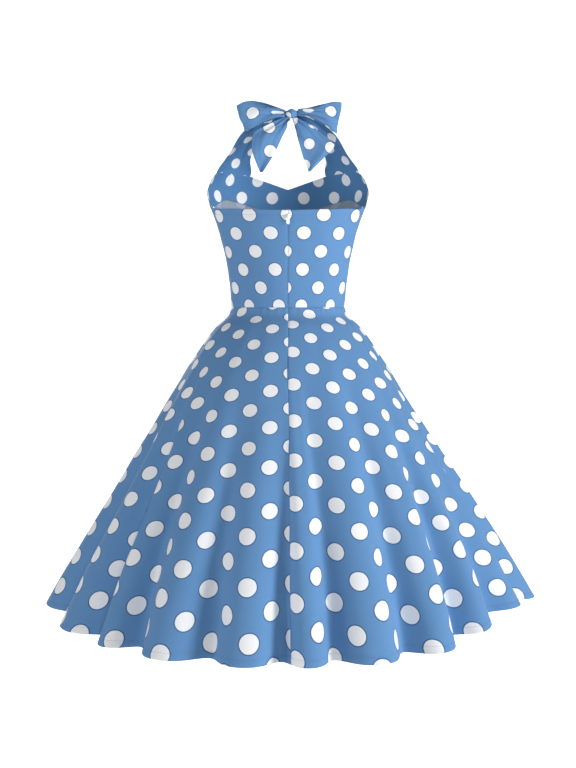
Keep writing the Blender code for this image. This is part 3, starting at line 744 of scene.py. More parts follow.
def torso_panel(
    start, stop, step, low=None, across=0.0, lean=0.0, rise=BODICE_PRINT_RISE, worn=(1.0, 0.0), middle=0.0
):
    """A panel of the torso between two angles, from a lower edge (or the waist) to the top edge.

    The print runs across by the distance from the start, or from the middle, over how far wear has
    eased the cloth at the waist and for each metre above it, and is leant by the grain; it runs up by
    the height above the waist.
    """
    angle = np.linspace(start, stop, 181)
    top = edge_height(TOP_EDGE, angle)
    bottom = 0.0 * top if low is None else edge_height(low, angle)
    span = float(np.mean(top - bottom))
    near = EDGE_STEPS / span
    even = np.linspace(near[-1], 1 - near[-1], max(4, round(span / step)))[1:-1]
    share = np.concatenate([near, even, 1 - near[::-1]])[:, None]
    dense = torso(angle, bottom + share * (top - bottom))
    count = round(float(np.mean(lengths(dense, 1)[:, -1])) / step)
    points, at = respaced(dense, count)
    up = lengths(points, 0)
    height = points[..., 2] - WAIST_Z
    side = 1.0 if stop > start else -1.0
    print_across = (at - middle * at[:, -1:]) / (worn[0] + worn[1] * height) + lean * height + across
    cloth = np.stack([side * print_across, height + rise], axis=-1)
    return Panel(points, cloth, at, up)


def sewn(panel, low=True, high=False):
    """How far each point turns in for the seams at the panel's edges: a bell from each sewn edge."""
    turned = bell(panel.at, SEAM_ROLL_REACH) + bell(panel.at[:, -1:] - panel.at, SEAM_ROLL_REACH)
    if low:
        turned = turned + bell(panel.up, SEAM_ROLL_REACH)
    if high:
        turned = turned + 0.6 * bell(panel.up[-1:] - panel.up, SEAM_ROLL_REACH)
    return -SEAM_ROLL * turned


def top_puckers(at, drop, seed):
    """Puckers along a stitched edge: a groove at the stitches and short uneven ridges across it.

    The ridges are a sine of the distance along the edge, its phase drifting, under a bell at the stitches.
    """
    draw = np.random.default_rng(seed)
    phase = draw.uniform(0, 2 * np.pi, 3)
    drift = 1.6 * np.sin(2 * np.pi * at / 0.041 + phase[0]) + 1.1 * np.sin(2 * np.pi * at / 0.027 + phase[1])
    strength = 0.6 + 0.4 * np.sin(2 * np.pi * at / 0.063 + phase[2])
    ridges = np.sin(2 * np.pi * at / 0.0085 + drift) * strength
    groove = -0.00060 * bell(drop - TOP_STITCH_DROP, 0.0014)
    return groove + 0.00070 * ridges * bell(drop - TOP_STITCH_DROP - 0.001, 0.0050)


def trimmed(points, low=False, high=False):
    """The grid's edges drawn back by half a seam gap."""
    points = points.copy()
    wanted = [(np.s_[:, 0], np.s_[:, 1]), (np.s_[:, -1], np.s_[:, -2])]
    if low:
        wanted.append((np.s_[0], np.s_[1]))
    if high:
        wanted.append((np.s_[-1], np.s_[-2]))
    for edge, inner in wanted:
        along = points[inner] - points[edge]
        points[edge] += SEAM_GAP / 2 * along / np.linalg.norm(along, axis=-1, keepdims=True)
    return points


def moved(points, lift):
    """The grid moved along its outward normals; the lift is one distance or one for each point."""
    return points + np.asarray(lift)[..., None] * outward(points)


def draglines(panel, seed, amount=0.0009):
    """The faint pulls and hollows of fitted cloth, fading out at the waist and at the edges sewn down."""
    waves = ((0.085, 0.21, 0.6), (0.05, 0.13, 0.4), (0.022, 0.26, 0.22))
    free = np.clip(panel.up / 0.03, 0, 1) * np.clip((panel.up[-1:] - panel.up) / 0.03, 0, 1)
    return ripples(panel.at, panel.up, seed, waves, amount) * (0.25 + 0.75 * free)


def seam_allowance(name, left, right, reach, sink):
    """The allowances pressed open behind a seam: a strip across it, built on the two panels' own cloth.

    Each has the seam first in its rows; the strip is sunk behind them, and its edges stand off further.
    """
    at = reach * np.linspace(0.0, 1.0, 5)
    strips = []
    for panel, order in ((left, -1), (right, 1)):
        arc = lengths(panel, 1)
        rows = [[np.interp(at, a, p[:, k]) for k in range(3)] for a, p in zip(arc, panel)]
        strips.append(np.array(rows).transpose(0, 2, 1)[:, ::order])
    seam = (strips[0][:, -1:] + strips[1][:, :1]) / 2
    points = np.concatenate([strips[0][:, :-1], seam, strips[1][:, 1:]], axis=1)
    across = np.abs(np.linspace(-1, 1, points.shape[1]))
    points = moved(points, ALLOWANCE_SPRING * (1 - across) - sink)
    cloth = np.stack([lengths(points, 1), lengths(points, 0)], axis=-1)
    made = sheet_piece(name, points, cloth, ALLOWANCE_WALL, ["Blue thread", "Cotton wrong side"])
    declare(made)


def neck_edge_path(start, stop, drop, sink):
    """A line inside the neckline, this far below its edge and this far in, with the way in at each point."""
    angle = np.linspace(start, stop, 300)
    top = edge_height(TOP_EDGE, angle)
    grid = torso(angle, np.stack([top - drop - 0.002, top - drop, top - drop + 0.002]))
    inwards = -outward(grid)
    return (grid + inwards * sink)[1], inwards[1]


class DRESS_OT_materials(bpy.types.Operator):
    """Make the node groups and the finishes"""

    bl_idname = "dress.materials"
    bl_label = "Finishes"

    def execute(self, context):
        settings = context.scene.dress_print
        dot_print_group()
        weave_group()
        printed_cloth("Dotted cotton", settings.blue, settings.white, settings.rim_blue, settings, 0.12)
        # A copy of the dotted cotton with its ground darkened and no dot edge: painted shade, for the facing
        # and the straps' inner sides.
        printed_cloth("Dotted facing", settings.shaded_blue, settings.white, settings.shaded_blue, settings, 0.10)
        faint = [1.3 * c for c in settings.wrong_side[:3]] + [1.0]
        printed_cloth("Cotton wrong side", settings.wrong_side, faint, settings.wrong_side, settings, 0.08)
        woven_plain("Zip tape", (0.07, 0.17, 0.38, 1.0), 0.8, 900)
        woven_plain("Nylon coil", (0.30, 0.45, 0.70, 1.0), 0.4, 500)
        woven_plain("Blue thread", (0.08, 0.21, 0.46, 1.0), 0.6, 4000)
        lacquered_metal()
        return {"FINISHED"}


class DRESS_OT_bodice(bpy.types.Operator):
    """Make the bodice's backs and fronts, their seams and the stitched top edge"""

    bl_idname = "dress.bodice"
    bl_label = "Bodice"

    def execute(self, context):
        walls = context.scene.dress_cloth
        step = walls.torso_step
        shell = ["Dotted cotton", "Cotton wrong side"]
        smooth_panels = {}
        for name, side, lean, across in (("left", -1, -0.083, 0.0158), ("right", 1, 0.0, 0.006)):
            panel = torso_panel(0.0, side * SIDE_SEAM, step, across=across, lean=lean, worn=(0.93, 1.2))
            smooth_panels[f"back_{name}"] = panel.points
            drop = panel.up[-1:] - panel.up
            lift = top_puckers(panel.at, drop, 31 + side) + draglines(panel, 11 + side) + sewn(panel)
            points = trimmed(moved(panel.points, lift), low=True)
            row = int(np.argmin(np.abs(np.mean(drop, axis=1) - TOP_STITCH_DROP)))
            seam_line = points[row] + outward(points)[row] * walls.shell / 2
            thread = stitches(f"bodice_back_{name}_topstitch", seam_line, outward(points)[row], "Blue thread")
            declare(thread)
            points, cloth = turned_under(points, panel.cloth, TOP_TURN, HEM_FOLD)
            piece = sheet_piece(f"bodice_back_{name}_cloth", points, cloth, walls.shell, shell)
            declare(piece, node=f"bodice_back_{name}")
            panel = torso_panel(side * SIDE_SEAM, side * PRINCESS_SEAM, step, across=0.021)
            smooth_panels[f"side_{name}"] = panel.points
            lift = draglines(panel, 17 + side) + sewn(panel, high=True)
            points = trimmed(moved(panel.points, lift), low=True, high=True)
            piece = sheet_piece(f"bodice_side_front_{name}_cloth", points, panel.cloth, walls.shell, shell)
            declare(piece, node=f"bodice_side_front_{name}")
        panel = torso_panel(PRINCESS_SEAM, 360.0 - PRINCESS_SEAM, step, middle=0.5)
        smooth_panels["centre"] = panel.points
        lift = draglines(panel, 23) + sewn(panel, high=True)
        points = trimmed(moved(panel.points, lift), low=True)
        piece = sheet_piece("bodice_front_centre_cloth", points, panel.cloth, walls.shell, shell)
        declare(piece, node="bodice_front_centre")
        backwards = {name: points[:, ::-1] for name, points in smooth_panels.items()}
        for name in ("left", "right"):
            back, side_front = backwards[f"back_{name}"], smooth_panels[f"side_{name}"]
            low = np.linspace(0, len(back) - 1, 60).round().astype(int)
            high = np.linspace(0, int(len(side_front) * 0.97), 60).round().astype(int)
            seam_allowance(f"side_seam_{name}", back[low], side_front[high], reach=0.009, sink=0.0019)
        return {"FINISHED"}


class DRESS_OT_facing(bpy.types.Operator):
    """Make the facing inside the neckline and its edge stitching"""

    bl_idname = "dress.facing"
    bl_label = "Facing"

    def execute(self, context):
        walls = context.scene.dress_cloth
        # The facing's side towards the wearer takes the darkened copy of the print: painted shade.
        inside = ["Cotton wrong side", "Dotted facing"]
        for cut in FACINGS:
            laid = {"across": cut.across, "rise": FACING_PRINT_RISE, "middle": cut.middle}
            panel = torso_panel(cut.start, cut.stop, walls.torso_step, low=FACING_EDGE, **laid)
            sides = bell(panel.at, SEAM_ROLL_REACH) + bell(panel.at[:, -1:] - panel.at, SEAM_ROLL_REACH)
            lift = 0.4 * draglines(panel, 41) - FACING_SINK - 0.0006 * sides
            lift = lift + 0.0007 * bell(panel.up[-1:] - panel.up, 0.0016) - 0.0004 * bell(panel.up, 0.002)
            points = trimmed(moved(panel.points, lift), high=True)
            piece = sheet_piece(f"{cut.name}_cloth", points, panel.cloth, walls.facing, inside)
            declare(piece, node=cut.name)
            stitch, inwards = neck_edge_path(cut.start, cut.stop, 0.0036, FACING_SINK + walls.facing / 2)
            thread = stitches(f"{cut.name}_edge_stitch", stitch, inwards, "Blue thread", 0.0026, 0.00018)
            declare(thread)
        return {"FINISHED"}


# ---- The skirt ----------------------------------------------------------------------------------------
Crease = namedtuple("Crease", "waist hem start stop width height")
# Secondary folds of the skirt: where each is at the waist and the hem, counted in flutes;
# between which shares of the way down it shows; its half width in flutes; its height, below 0 for a trough.
CREASES = (
    Crease(0.55, 0.62, 0.02, 0.30, 0.22, -0.0030),
    Crease(1.45, 1.40, 0.01, 0.22, 0.20, 0.0028),
    Crease(2.52, 2.62, 0.20, 0.90, 0.16, -0.0040),
    Crease(3.30, 3.42, 0.01, 0.26, 0.18, -0.0032),
    Crease(3.72, 3.74, 0.30, 0.95, 0.15, 0.0038),
    Crease(4.40, 4.46, 0.02, 0.34, 0.22, 0.0030),
    Crease(5.52, 5.60, 0.24, 0.92, 0.17, -0.0042),
    Crease(6.45, 6.36, 0.02, 0.28, 0.20, -0.0028),
    Crease(7.44, 7.40, 0.26, 0.95, 0.16, -0.0045),
    Crease(8.60, 8.52, 0.02, 0.30, 0.20, 0.0030),
    Crease(9.50, 9.44, 0.35, 0.95, 0.20, 0.0030),
    Crease(10.42, 10.50, 0.03, 0.36, 0.20, -0.0034),
    Crease(11.62, 11.50, 0.25, 0.90, 0.18, -0.0040),
    Crease(12.40, 12.52, 0.02, 0.30, 0.20, 0.0030),
    Crease(13.55, 13.46, 0.30, 0.95, 0.16, 0.0035),
    Crease(14.48, 14.60, 0.02, 0.28, 0.20, -0.0032),
    Crease(15.55, 15.52, 0.22, 0.90, 0.17, -0.0038),
    Crease(16.42, 16.38, 0.02, 0.34, 0.22, 0.0028),
    Crease(17.50, 17.58, 0.30, 0.95, 0.16, -0.0040),
    Crease(18.55, 18.45, 0.02, 0.30, 0.20, -0.0030),
    Crease(19.48, 19.40, 0.25, 0.92, 0.17, 0.0036),
    Crease(20.50, 20.60, 0.02, 0.26, 0.20, 0.0030),
    Crease(21.45, 21.50, 0.28, 0.95, 0.16, -0.0042),
    Crease(22.58, 22.48, 0.02, 0.32, 0.22, -0.0030),
    Crease(23.50, 23.44, 0.25, 0.90, 0.18, 0.0034),
)
PRINT_RADIUS = 0.235  # of the printed ring at the waist
PRINT_ALONG = (0.87, 0.78)  # the print's growth along the skirt: at the waist, and more for each metre
PRINT_ACROSS = (1.00, 0.64)  # the same across the skirt
WAIST_SINK, WAIST_WALL = 0.0021, 0.0008  # the waist seam's allowances: how far in, and their wall
HEM_STITCH = 0.88 * HEM_TURN  # the height of the hem's stitches above the hem
HEM_ROWS = np.array([0.12, 0.24, 0.5, 0.75, 0.9, 1.0])  # the mesh's rows down the turned hem, as shares of it
# The skirt's pieces between their seams, each with its flat cut and its area, and how its print is laid:
# its middle as a share of the width, shifted across and along the printed ring, and leant by the grain.
SkirtCut = namedtuple("SkirtCut", "name start stop flat area middle across along lean")
SKIRT_CUTS = (
    SkirtCut("skirt_back_left", BACK_SEAM, LEFT_SEAM, (0.967, 0.754), 0.434, 0.0, -0.0050, 0.0413, 0.004),
    SkirtCut("skirt_back_right", BACK_SEAM, RIGHT_SEAM, (0.967, 0.754), 0.434, 0.0, -0.0080, 0.0657, -0.006),
    SkirtCut("skirt_front", RIGHT_SEAM, LEFT_SEAM + len(FLUTES), (1.607, 0.816), 0.868, 0.5, 0.0, 0.0, 0.0),
)


def crease_lift(distance, place):
    """Lifts of the secondary folds: each a bell across its line, grown and gone as a half sine along it."""
    down = distance[:, None, None] / SKIRT_LENGTH
    start, stop = column(CREASES, "start"), column(CREASES, "stop")
    line = column(CREASES, "waist") + down * (column(CREASES, "hem") - column(CREASES, "waist"))
    off = (place[None, :, None] - line + len(FLUTES) / 2) % len(FLUTES) - len(FLUTES) / 2
    along = np.sin(np.pi * np.clip((down - start) / (stop - start), 0, 1)) ** 0.8
    return np.sum(column(CREASES, "height") * bell(off, column(CREASES, "width")) * along, axis=-1)


def skirt(distance, place):
    """The fluted skirt at distances down the cloth and at places round it, counted in flutes.

    A flute swings from its valley out to its crest and in to the next as a cosine, broad at the crest.
    The height falls by what each step down the cloth has left after the mean ring's step outwards.
    """
    first = np.floor(place).astype(int) % len(FLUTES)
    share = place - np.floor(place)
    ease = smooth(distance / SKIRT_LENGTH, np.array([0.0, 0.5, 1.0]), np.array([0.0, 0.62, 1.0]))[:, None]
    valley = column(FLUTES, "waist") + ease * (column(FLUTES, "hem") - column(FLUTES, "waist"))
    after = np.concatenate([valley[:, 1:], valley[:, :1] + 360.0], axis=1)
    turn = np.radians(valley[:, first] + (after - valley)[:, first] * share)
    start = column(FLUTES, "start")
    growth = np.clip((distance[:, None] - start) / (SKIRT_LENGTH - start), 0.0, 1.0) ** FLUTE_GROWTH
    both = (growth + np.roll(growth, -1, axis=1)) / 2
    depth = growth * column(FLUTES, "depth")
    inwards = depth[:, first] + (np.roll(depth, -1, axis=1) - depth)[:, first] * share
    swung = share + CREST_BREADTH * both[:, first] * np.sin(2 * np.pi * share)
    wave = (1 - np.cos(2 * np.pi * swung)) / 2
    outwards = (both * column(FLUTES, "crest"))[:, first]
    offset = FLUTE_REACH * wave * outwards - VALLEY_REACH * (1 - wave) * inwards
    offset = offset + crease_lift(distance, place)
    places = column(SKIRT, "distance")
    left, right, back, front = (smooth(distance, places, column(SKIRT, n))[:, None] for n in Ring._fields[1:])
    even = [np.where(np.sin(turn) > 0, right, left) * np.sin(turn)]
    even.append(-np.where(np.cos(turn) > 0, back, front) * np.cos(turn))
    step_out = np.linalg.norm(np.diff(np.stack(even, axis=-1), axis=0), axis=-1)
    drop = np.sqrt(np.maximum(np.diff(distance)[:, None] ** 2 - step_out**2, 0.0))
    z = WAIST_Z - np.concatenate([np.zeros((1, drop.shape[1])), np.cumsum(drop, axis=0)])
    around = (np.degrees(turn) + 180.0) % 360.0 - 180.0
    for hang in HANGS:
        z += hang.rise * bell(around - hang.angle, hang.spread) * (distance[:, None] / SKIRT_LENGTH) ** 2
    return np.stack([even[0] + offset * np.sin(turn), AXIS_Y + even[1] - offset * np.cos(turn), z], axis=-1)


def skirt_distances(rows):
    """Distances of the rows down the skirt: close together at the waist seam and the hem, even between."""
    even = np.linspace(EDGE_STEPS[-1], SKIRT_LENGTH - HEM_TURN, rows)[1:]
    hem = SKIRT_LENGTH - HEM_TURN + HEM_TURN * HEM_ROWS
    return np.concatenate([EDGE_STEPS, even, hem])


def skirt_print(distance, at, middle, across, along, lean):
    """Print coordinates on the skirt: the print lies on a ring that is cut open, its centre above the waist.

    The print grows towards the hem. Along the skirt its distance is the logarithm of the growth, the sum
    of each step over the growth there; across it, the angle is the distance round over the growth and
    the ring's radius.
    """
    at_waist, growing = PRINT_ALONG
    radius = (PRINT_RADIUS + np.log(1 + growing / at_waist * distance) / growing)[:, None]
    angle = (at - middle) / ((PRINT_ACROSS[0] + PRINT_ACROSS[1] * distance[:, None]) * radius)
    u = radius * np.sin(angle) + across + lean * distance[:, None]
    return np.stack([u, -radius * np.cos(angle) + along], axis=-1)


def skirt_lift(distance, at, seed):
    """Small forms of the hanging skirt: puckers under the waist seam, undulations and the hem's stitching."""
    draw = np.random.default_rng(seed)
    phase = draw.uniform(0, 2 * np.pi, 4)
    down = distance[:, None]
    drift = 1.8 * np.sin(at / 0.021 + phase[0]) + 1.2 * np.sin(at / 0.047 + phase[1])
    puckers = 0.0007 * np.sin(at / 0.0023 + drift) * np.exp(-down / 0.012) * np.clip(down / 0.002, 0, 1)
    waves = ((0.11, 0.34, 0.5), (0.05, 0.21, 0.35), (0.024, 0.17, 0.15))
    soft = ripples(at * 0.14 / (0.14 + down), down, seed, waves, 0.0022) * np.clip(down / 0.12, 0, 1)
    from_stitches = SKIRT_LENGTH - down - HEM_STITCH
    groove = -0.0004 * bell(from_stitches, 0.0014)
    pulled = 0.00035 * np.sin(at / 0.0021 + 2.0 * np.sin(at / 0.031 + phase[2])) * bell(from_stitches, 0.005)
    return puckers + soft + groove + pulled


class DRESS_OT_skirt(bpy.types.Operator):
    """Make the skirt's front and two backs, hung in flutes from the waist, with a turned and stitched hem"""

    bl_idname = "dress.skirt"
    bl_label = "Skirt"

    def execute(self, context):
        walls = context.scene.dress_cloth
        shell = ["Dotted cotton", "Cotton wrong side"]
        distance = skirt_distances(walls.skirt_rows)
        plain = {}
        for number, cut in enumerate(SKIRT_CUTS):
            flutes = abs(cut.stop - cut.start)
            dense = skirt(distance, np.linspace(cut.start, cut.stop, round(flutes * 60)))
            points, at = respaced(dense, round(flutes * walls.flute_columns))
            total = at[:, -1:]
            side = -1.0 if cut.stop < cut.start else 1.0
            middle = side * cut.middle * total
            cloth = skirt_print(distance, side * at, middle, cut.across, cut.along, cut.lean)
            plain[cut.name] = points[: -len(HEM_ROWS)]
            lift = skirt_lift(distance, at, 61 + number)
            rolled = bell(at, SEAM_ROLL_REACH) + bell(total - at, SEAM_ROLL_REACH)
            rolled = rolled + bell(distance[:, None], SEAM_ROLL_REACH)
            points = trimmed(moved(points, lift - SEAM_ROLL * rolled), low=True)
            row = int(np.argmin(np.abs(SKIRT_LENGTH - distance - HEM_STITCH)))
            normal = outward(points)[row]
            line = points[row] + normal * walls.shell / 2
            thread = stitches(f"{cut.name}_hem_stitch", line, normal, "Blue thread")
            declare(thread)
            points, cloth = turned_under(points, cloth, HEM_TURN, HEM_FOLD)
            piece = sheet_piece(f"{cut.name}_cloth", points, cloth, walls.shell, shell)
            declare(piece, node=cut.name)
        left, right, front = plain["skirt_back_left"], plain["skirt_back_right"], plain["skirt_front"]
        allowance = {"reach": 0.011, "sink": 0.0020}
        seam_allowance("skirt_seam_back", left, right, **allowance)
        seam_allowance("skirt_seam_left", left[:, ::-1], front[:, ::-1], **allowance)
        seam_allowance("skirt_seam_right", right[:, ::-1], front, **allowance)
        return {"FINISHED"}


class DRESS_OT_waist(bpy.types.Operator):
    """Make the waist seam's allowances, pressed open inside"""

    bl_idname = "dress.waist"
    bl_label = "Waist seam"

    def execute(self, context):
        angle = np.linspace(-180.0, 180.0, 361)
        above = torso(angle, np.array([[0.0085], [0.004], [0.0]]) + 0 * angle)
        round_once = np.linspace(0, len(FLUTES), 60 * len(FLUTES) + 1) + LEFT_SEAM - 8
        ring = skirt(np.array([0.0, 0.004, 0.009]), round_once)
        below = []
        for row in ring[1:]:
            turn = np.degrees(np.arctan2(row[:, 0], AXIS_Y - row[:, 1]))
            order = np.argsort(turn)
            below.append([np.interp(angle, turn[order], row[order, k], period=360.0) for k in range(3)])
        points = np.concatenate([above, np.array(below).transpose(0, 2, 1)])
        points = moved(points, -WAIST_SINK)
        cloth = np.stack([lengths(points, 1), lengths(points, 0)], axis=-1)
        finishes = ["Cotton wrong side", "Cotton wrong side"]
        made = sheet_piece("waist_seam_allowance", points, cloth, WAIST_WALL, finishes)
        declare(made)
        return {"FINISHED"}


# ---- The straps and the bow ---------------------------------------------------------------------------
STRAP_PRINT_WIDTH = 0.104  # of the print across the strap where it is widest
STRAP_GATHER, STRAP_WAVE = 0.0021, 0.0016  # heights of the strap's gathers and of its broad unevenness
LOOP_PLEAT, TAIL_PLEAT = 0.0032, 0.0034  # heights of the pleats that spread from the knot
LOOP_WAVE, TAIL_WAVE = 0.0022, 0.0024  # heights of the broad unevenness further out
# How the print lies on each piece of the bow: a dot's place on the cloth, its turn in degrees, and its scale.
Laid = namedtuple("Laid", "origin turned scale")


def strap(side, columns, rows):
    """A strap (+1 is the wearer's right) from the bodice's top edge to the knot, gathered at the nape.

    Its guide rows are joined by smooth curves along the strap. The gathers are a sine across the strap that
    deepens as the strap narrows.
    """
    base_angle = side * np.linspace(PRINCESS_SEAM, STRAP_OUTER, columns)
    top = edge_height(TOP_EDGE, base_angle)
    root = moved(torso(base_angle, np.stack([top - STRAP_TUCK, top, top + STRAP_LEAD])), -STRAP_SINK)
    share = np.linspace(0.0, 1.0, columns)[:, None]
    neck = np.array([(s.neck_x, s.neck_y, s.neck_z) for s in STRAPS])
    arm = np.array([(s.arm_x, s.arm_y, s.arm_z) for s in STRAPS])
    guides = neck[:, None] + share * (arm - neck)[:, None]
    straight = root[-1, :1] + share * (root[-1, -1:] - root[-1, :1])
    bend = (root[-1] - straight) * np.array([side, 1.0, 1.0])
    fade = np.linspace(0.75, 0.0, len(STRAPS))[:, None, None]
    guides = (guides + fade * bend) * np.array([side, 1.0, 1.0])
    guides[-1, :, 0] = KNOT[0] + side * STRAP_END
    guides = np.concatenate([root, guides])
    place = np.mean(lengths(guides, 0), axis=1)
    at = np.concatenate([[0.0, STRAP_TUCK], np.linspace(STRAP_TUCK, place[-1], rows)[1:]])
    points = smooth(at, place, guides)
    width = lengths(points, 1)[:, -1:]
    full = width / np.max(width)
    across = share[:, 0]
    down = at[:, None]
    gathers = sine(3.2 * across + 0.12 * np.sin(9.0 * down) + 0.1)
    gathers = gathers + 0.5 * sine(6.1 * across + 0.37)
    depth = STRAP_GATHER * np.clip(1.15 - full, 0, 1) ** 2.2 * np.minimum(1.0, (at[-1] - down) / 0.012 + 0.25)
    broad = sine(1.1 * across + 2.3 * down / at[-1]) * np.sin(np.pi * down / at[-1])
    away = points - np.array([0.0, AXIS_Y, -0.16])
    normal = normals(points)
    normal = normal * np.sign(np.sum(normal * away))
    points = points + (depth * gathers + STRAP_WAVE * broad)[..., None] * normal
    cloth = np.stack([(across - 0.5) * STRAP_PRINT_WIDTH * (0.35 + 0.65 * full), down + 0 * across], axis=-1)
    return points, cloth, normal


def laid_print(cloth, laid):
    """Cloth coordinates with a dot at the laid origin and the print turned anticlockwise by the angle."""
    cosine, sine = math.cos(math.radians(laid.turned)), math.sin(math.radians(laid.turned))
    u, v = laid.scale * (cloth[..., 0] - laid.origin[0]), laid.scale * (cloth[..., 1] - laid.origin[1])
    return np.stack([u * cosine + v * sine, v * cosine - u * sine], axis=-1)


def bow_normals(points):
    """Unit normals of a loop or tail of the bow, on its front layer looking backwards off the dress (-Y)."""
    normal = normals(points)
    quarter = max(1, len(points) // 4)
    return normal * (-np.sign(np.sum(normal[:quarter, :, 1])))


def bow_loop(table, reach, dip, phase, rows, steps):
    """A loop of the bow: the band leaves the knot, turns over the outer fold and comes back behind itself.

    Pleats spread from the knot as a sum of sines across the band, fading outwards; the front layer's top edge
    hangs lower than the back layer's by the dip.
    """
    knot_x, top_x, bottom_x = reach
    turn = np.linspace(0.0, np.pi, steps)[:, None]
    up = np.linspace(0.0, 1.0, rows)
    share = np.sin(turn)
    places = column(table, "share")
    top, bottom, hollow = (smooth(share, places, column(table, name)) for name in ("top", "bottom", "hollow"))
    front = np.clip(np.cos(turn), 0.0, 1.0) ** 0.5
    top = top - dip * bell(share - 0.45, 0.24) * front
    x = knot_x + (bottom_x + up * (top_x - bottom_x) - knot_x) * share
    body = np.sin(np.pi * up) ** 0.7
    y = LOOP_Y - hollow * np.cos(turn) * (0.72 + 0.28 * body)
    points = np.stack([x, y, bottom + up * (top - bottom)], axis=-1)
    normal = bow_normals(points)
    near = np.exp(-share / 0.42) * np.clip(share / 0.05, 0, 1)
    pleats = sine(2.3 * up + phase) + 0.55 * sine(4.7 * up + 2.1 * phase)
    soft = LOOP_WAVE * sine(1.2 * up + 0.6 * share + phase) * np.sin(np.pi * share)
    dents = 0.0010 * sine(2.2 * share + 1.1 * up + 3 * phase) * share
    points = points + (LOOP_PLEAT * near * pleats + soft + dents)[..., None] * normal
    band = lengths(points, 0)
    across = (up - 0.45)[None] * 0.058 + 0 * band
    return points, np.stack([band, across], axis=-1), normal


def bow_tail(table, phase, rows, columns):
    """A tail of the bow from the knot to its pointed end, crowned a little and pleated at the knot."""
    share = np.linspace(0.0, 1.0, columns)
    place = np.arange(len(table), dtype=float)
    at = np.linspace(0.0, place[-1], rows)
    left_x, left_z, right_x, right_z, y = (smooth(at, place, column(table, n))[:, None] for n in Tail._fields)
    swell = TAIL_SWELL * np.sin(np.pi * share) * np.sin(np.pi * at / place[-1])[:, None]
    x, z = left_x + share * (right_x - left_x), left_z + share * (right_z - left_z)
    points = np.stack([x, y - swell, z], axis=-1)
    normal = bow_normals(points)
    down = at[:, None]
    near = np.exp(-down / 1.7) * np.clip(down / 0.12, 0, 1)
    pleats = sine(2.3 * share + phase) + 0.5 * sine(4.4 * share + 2 * phase)
    soft = TAIL_WAVE * sine(0.9 * share + 0.24 * down + phase) * np.clip(down / 1.5, 0, 1)
    points = points + (TAIL_PLEAT * near * pleats + soft)[..., None] * normal
    return points, points[..., ::2].copy(), normal


def bow_knot():
    """The knot: an ellipsoid whose radius swells and sinks as two sines along it, for the wrapped folds."""
    around = np.linspace(0, 2 * np.pi, 73)
    over = np.linspace(0.02, np.pi - 0.02, 40)[:, None]
    ring = [np.cos(over) + 0 * around, np.sin(over) * np.cos(around), np.sin(over) * np.sin(around)]
    wrap = 0.055 * np.sin(2 * np.pi * 2.4 * over / np.pi + 0.5 * np.sin(around)) * np.sin(over)
    wrap = wrap + 0.03 * np.sin(2 * np.pi * 5.1 * over / np.pi + 1.1 * np.cos(around)) * np.sin(over) ** 2
    points = np.array(KNOT) + np.array(KNOT_RADII) * np.stack(ring, axis=-1) * (1 + wrap - 0.03)[..., None]
    cloth = np.stack([0.030 + over * 0.017 + 0 * around, 0.028 + around * 0.0115 + 0 * over], axis=-1)
    return points, cloth


class DRESS_OT_straps(bpy.types.Operator):
    """Make the halter's straps"""

    bl_idname = "dress.straps"
    bl_label = "Straps"

    def execute(self, context):
        walls = context.scene.dress_cloth
        for name, side, shift in (("left", -1, (0.003, 0.045)), ("right", 1, (0.018, 0.002))):
            points, cloth, normal = strap(side, 44, 110)
            cloth = cloth + np.array(shift)
            # The strap's inner side takes the darkened copy of the print: painted shade.
            sides = ["Dotted cotton", "Dotted facing"]
            piece = sheet_piece(f"strap_{name}_cloth", points, cloth, walls.double, sides, normal, BOW_EDGE)
            declare(piece, node=f"strap_{name}")
        return {"FINISHED"}


class DRESS_OT_bow(bpy.types.Operator):
    """Make the bow: the knot, the two loops and the two tails"""

    bl_idname = "dress.bow"
    bl_label = "Bow"

    def execute(self, context):
        wall = context.scene.dress_cloth.double
        band = ["Dotted cotton", "Dotted cotton"]
        loops = (
            ("left", LOOP_LEFT, LOOP_LEFT_X, 0.012, 0.13, Laid((0.067, 0.005), -46.4, 1.0)),
            ("right", LOOP_RIGHT, LOOP_RIGHT_X, 0.004, 0.41, Laid((0.068, 0.011), -46.4, 1.1)),
        )
        for name, table, reach, dip, phase, laid in loops:
            points, cloth, normal = bow_loop(table, reach, dip, phase, 34, 110)
            cloth = laid_print(cloth, laid)
            piece = sheet_piece(f"bow_loop_{name}_cloth", points, cloth, wall, band, normal, BOW_EDGE)
            declare(piece, node=f"bow_loop_{name}")
        tails = (
            ("left", TAIL_LEFT, 0.22, Laid((-0.0378, -0.0361), -41.4, 1.06)),
            ("right", TAIL_RIGHT, 0.60, Laid((0.0431, -0.0698), -55.3, 1.18)),
        )
        for name, table, phase, laid in tails:
            points, cloth, normal = bow_tail(table, phase, 70, 34)
            cloth = laid_print(cloth, laid)
            piece = sheet_piece(f"bow_tail_{name}_cloth", points, cloth, wall, band, normal, BOW_EDGE)
            declare(piece, node=f"bow_tail_{name}")
        points, cloth = bow_knot()
        mesh = mesh_of("bow_knot_cloth", points, grid_faces(*points.shape[:2]), cloth)
        knot = placed("bow_knot_cloth", mesh, [bpy.data.materials["Dotted cotton"]])
        declare(knot, node="bow_knot")
        return {"FINISHED"}


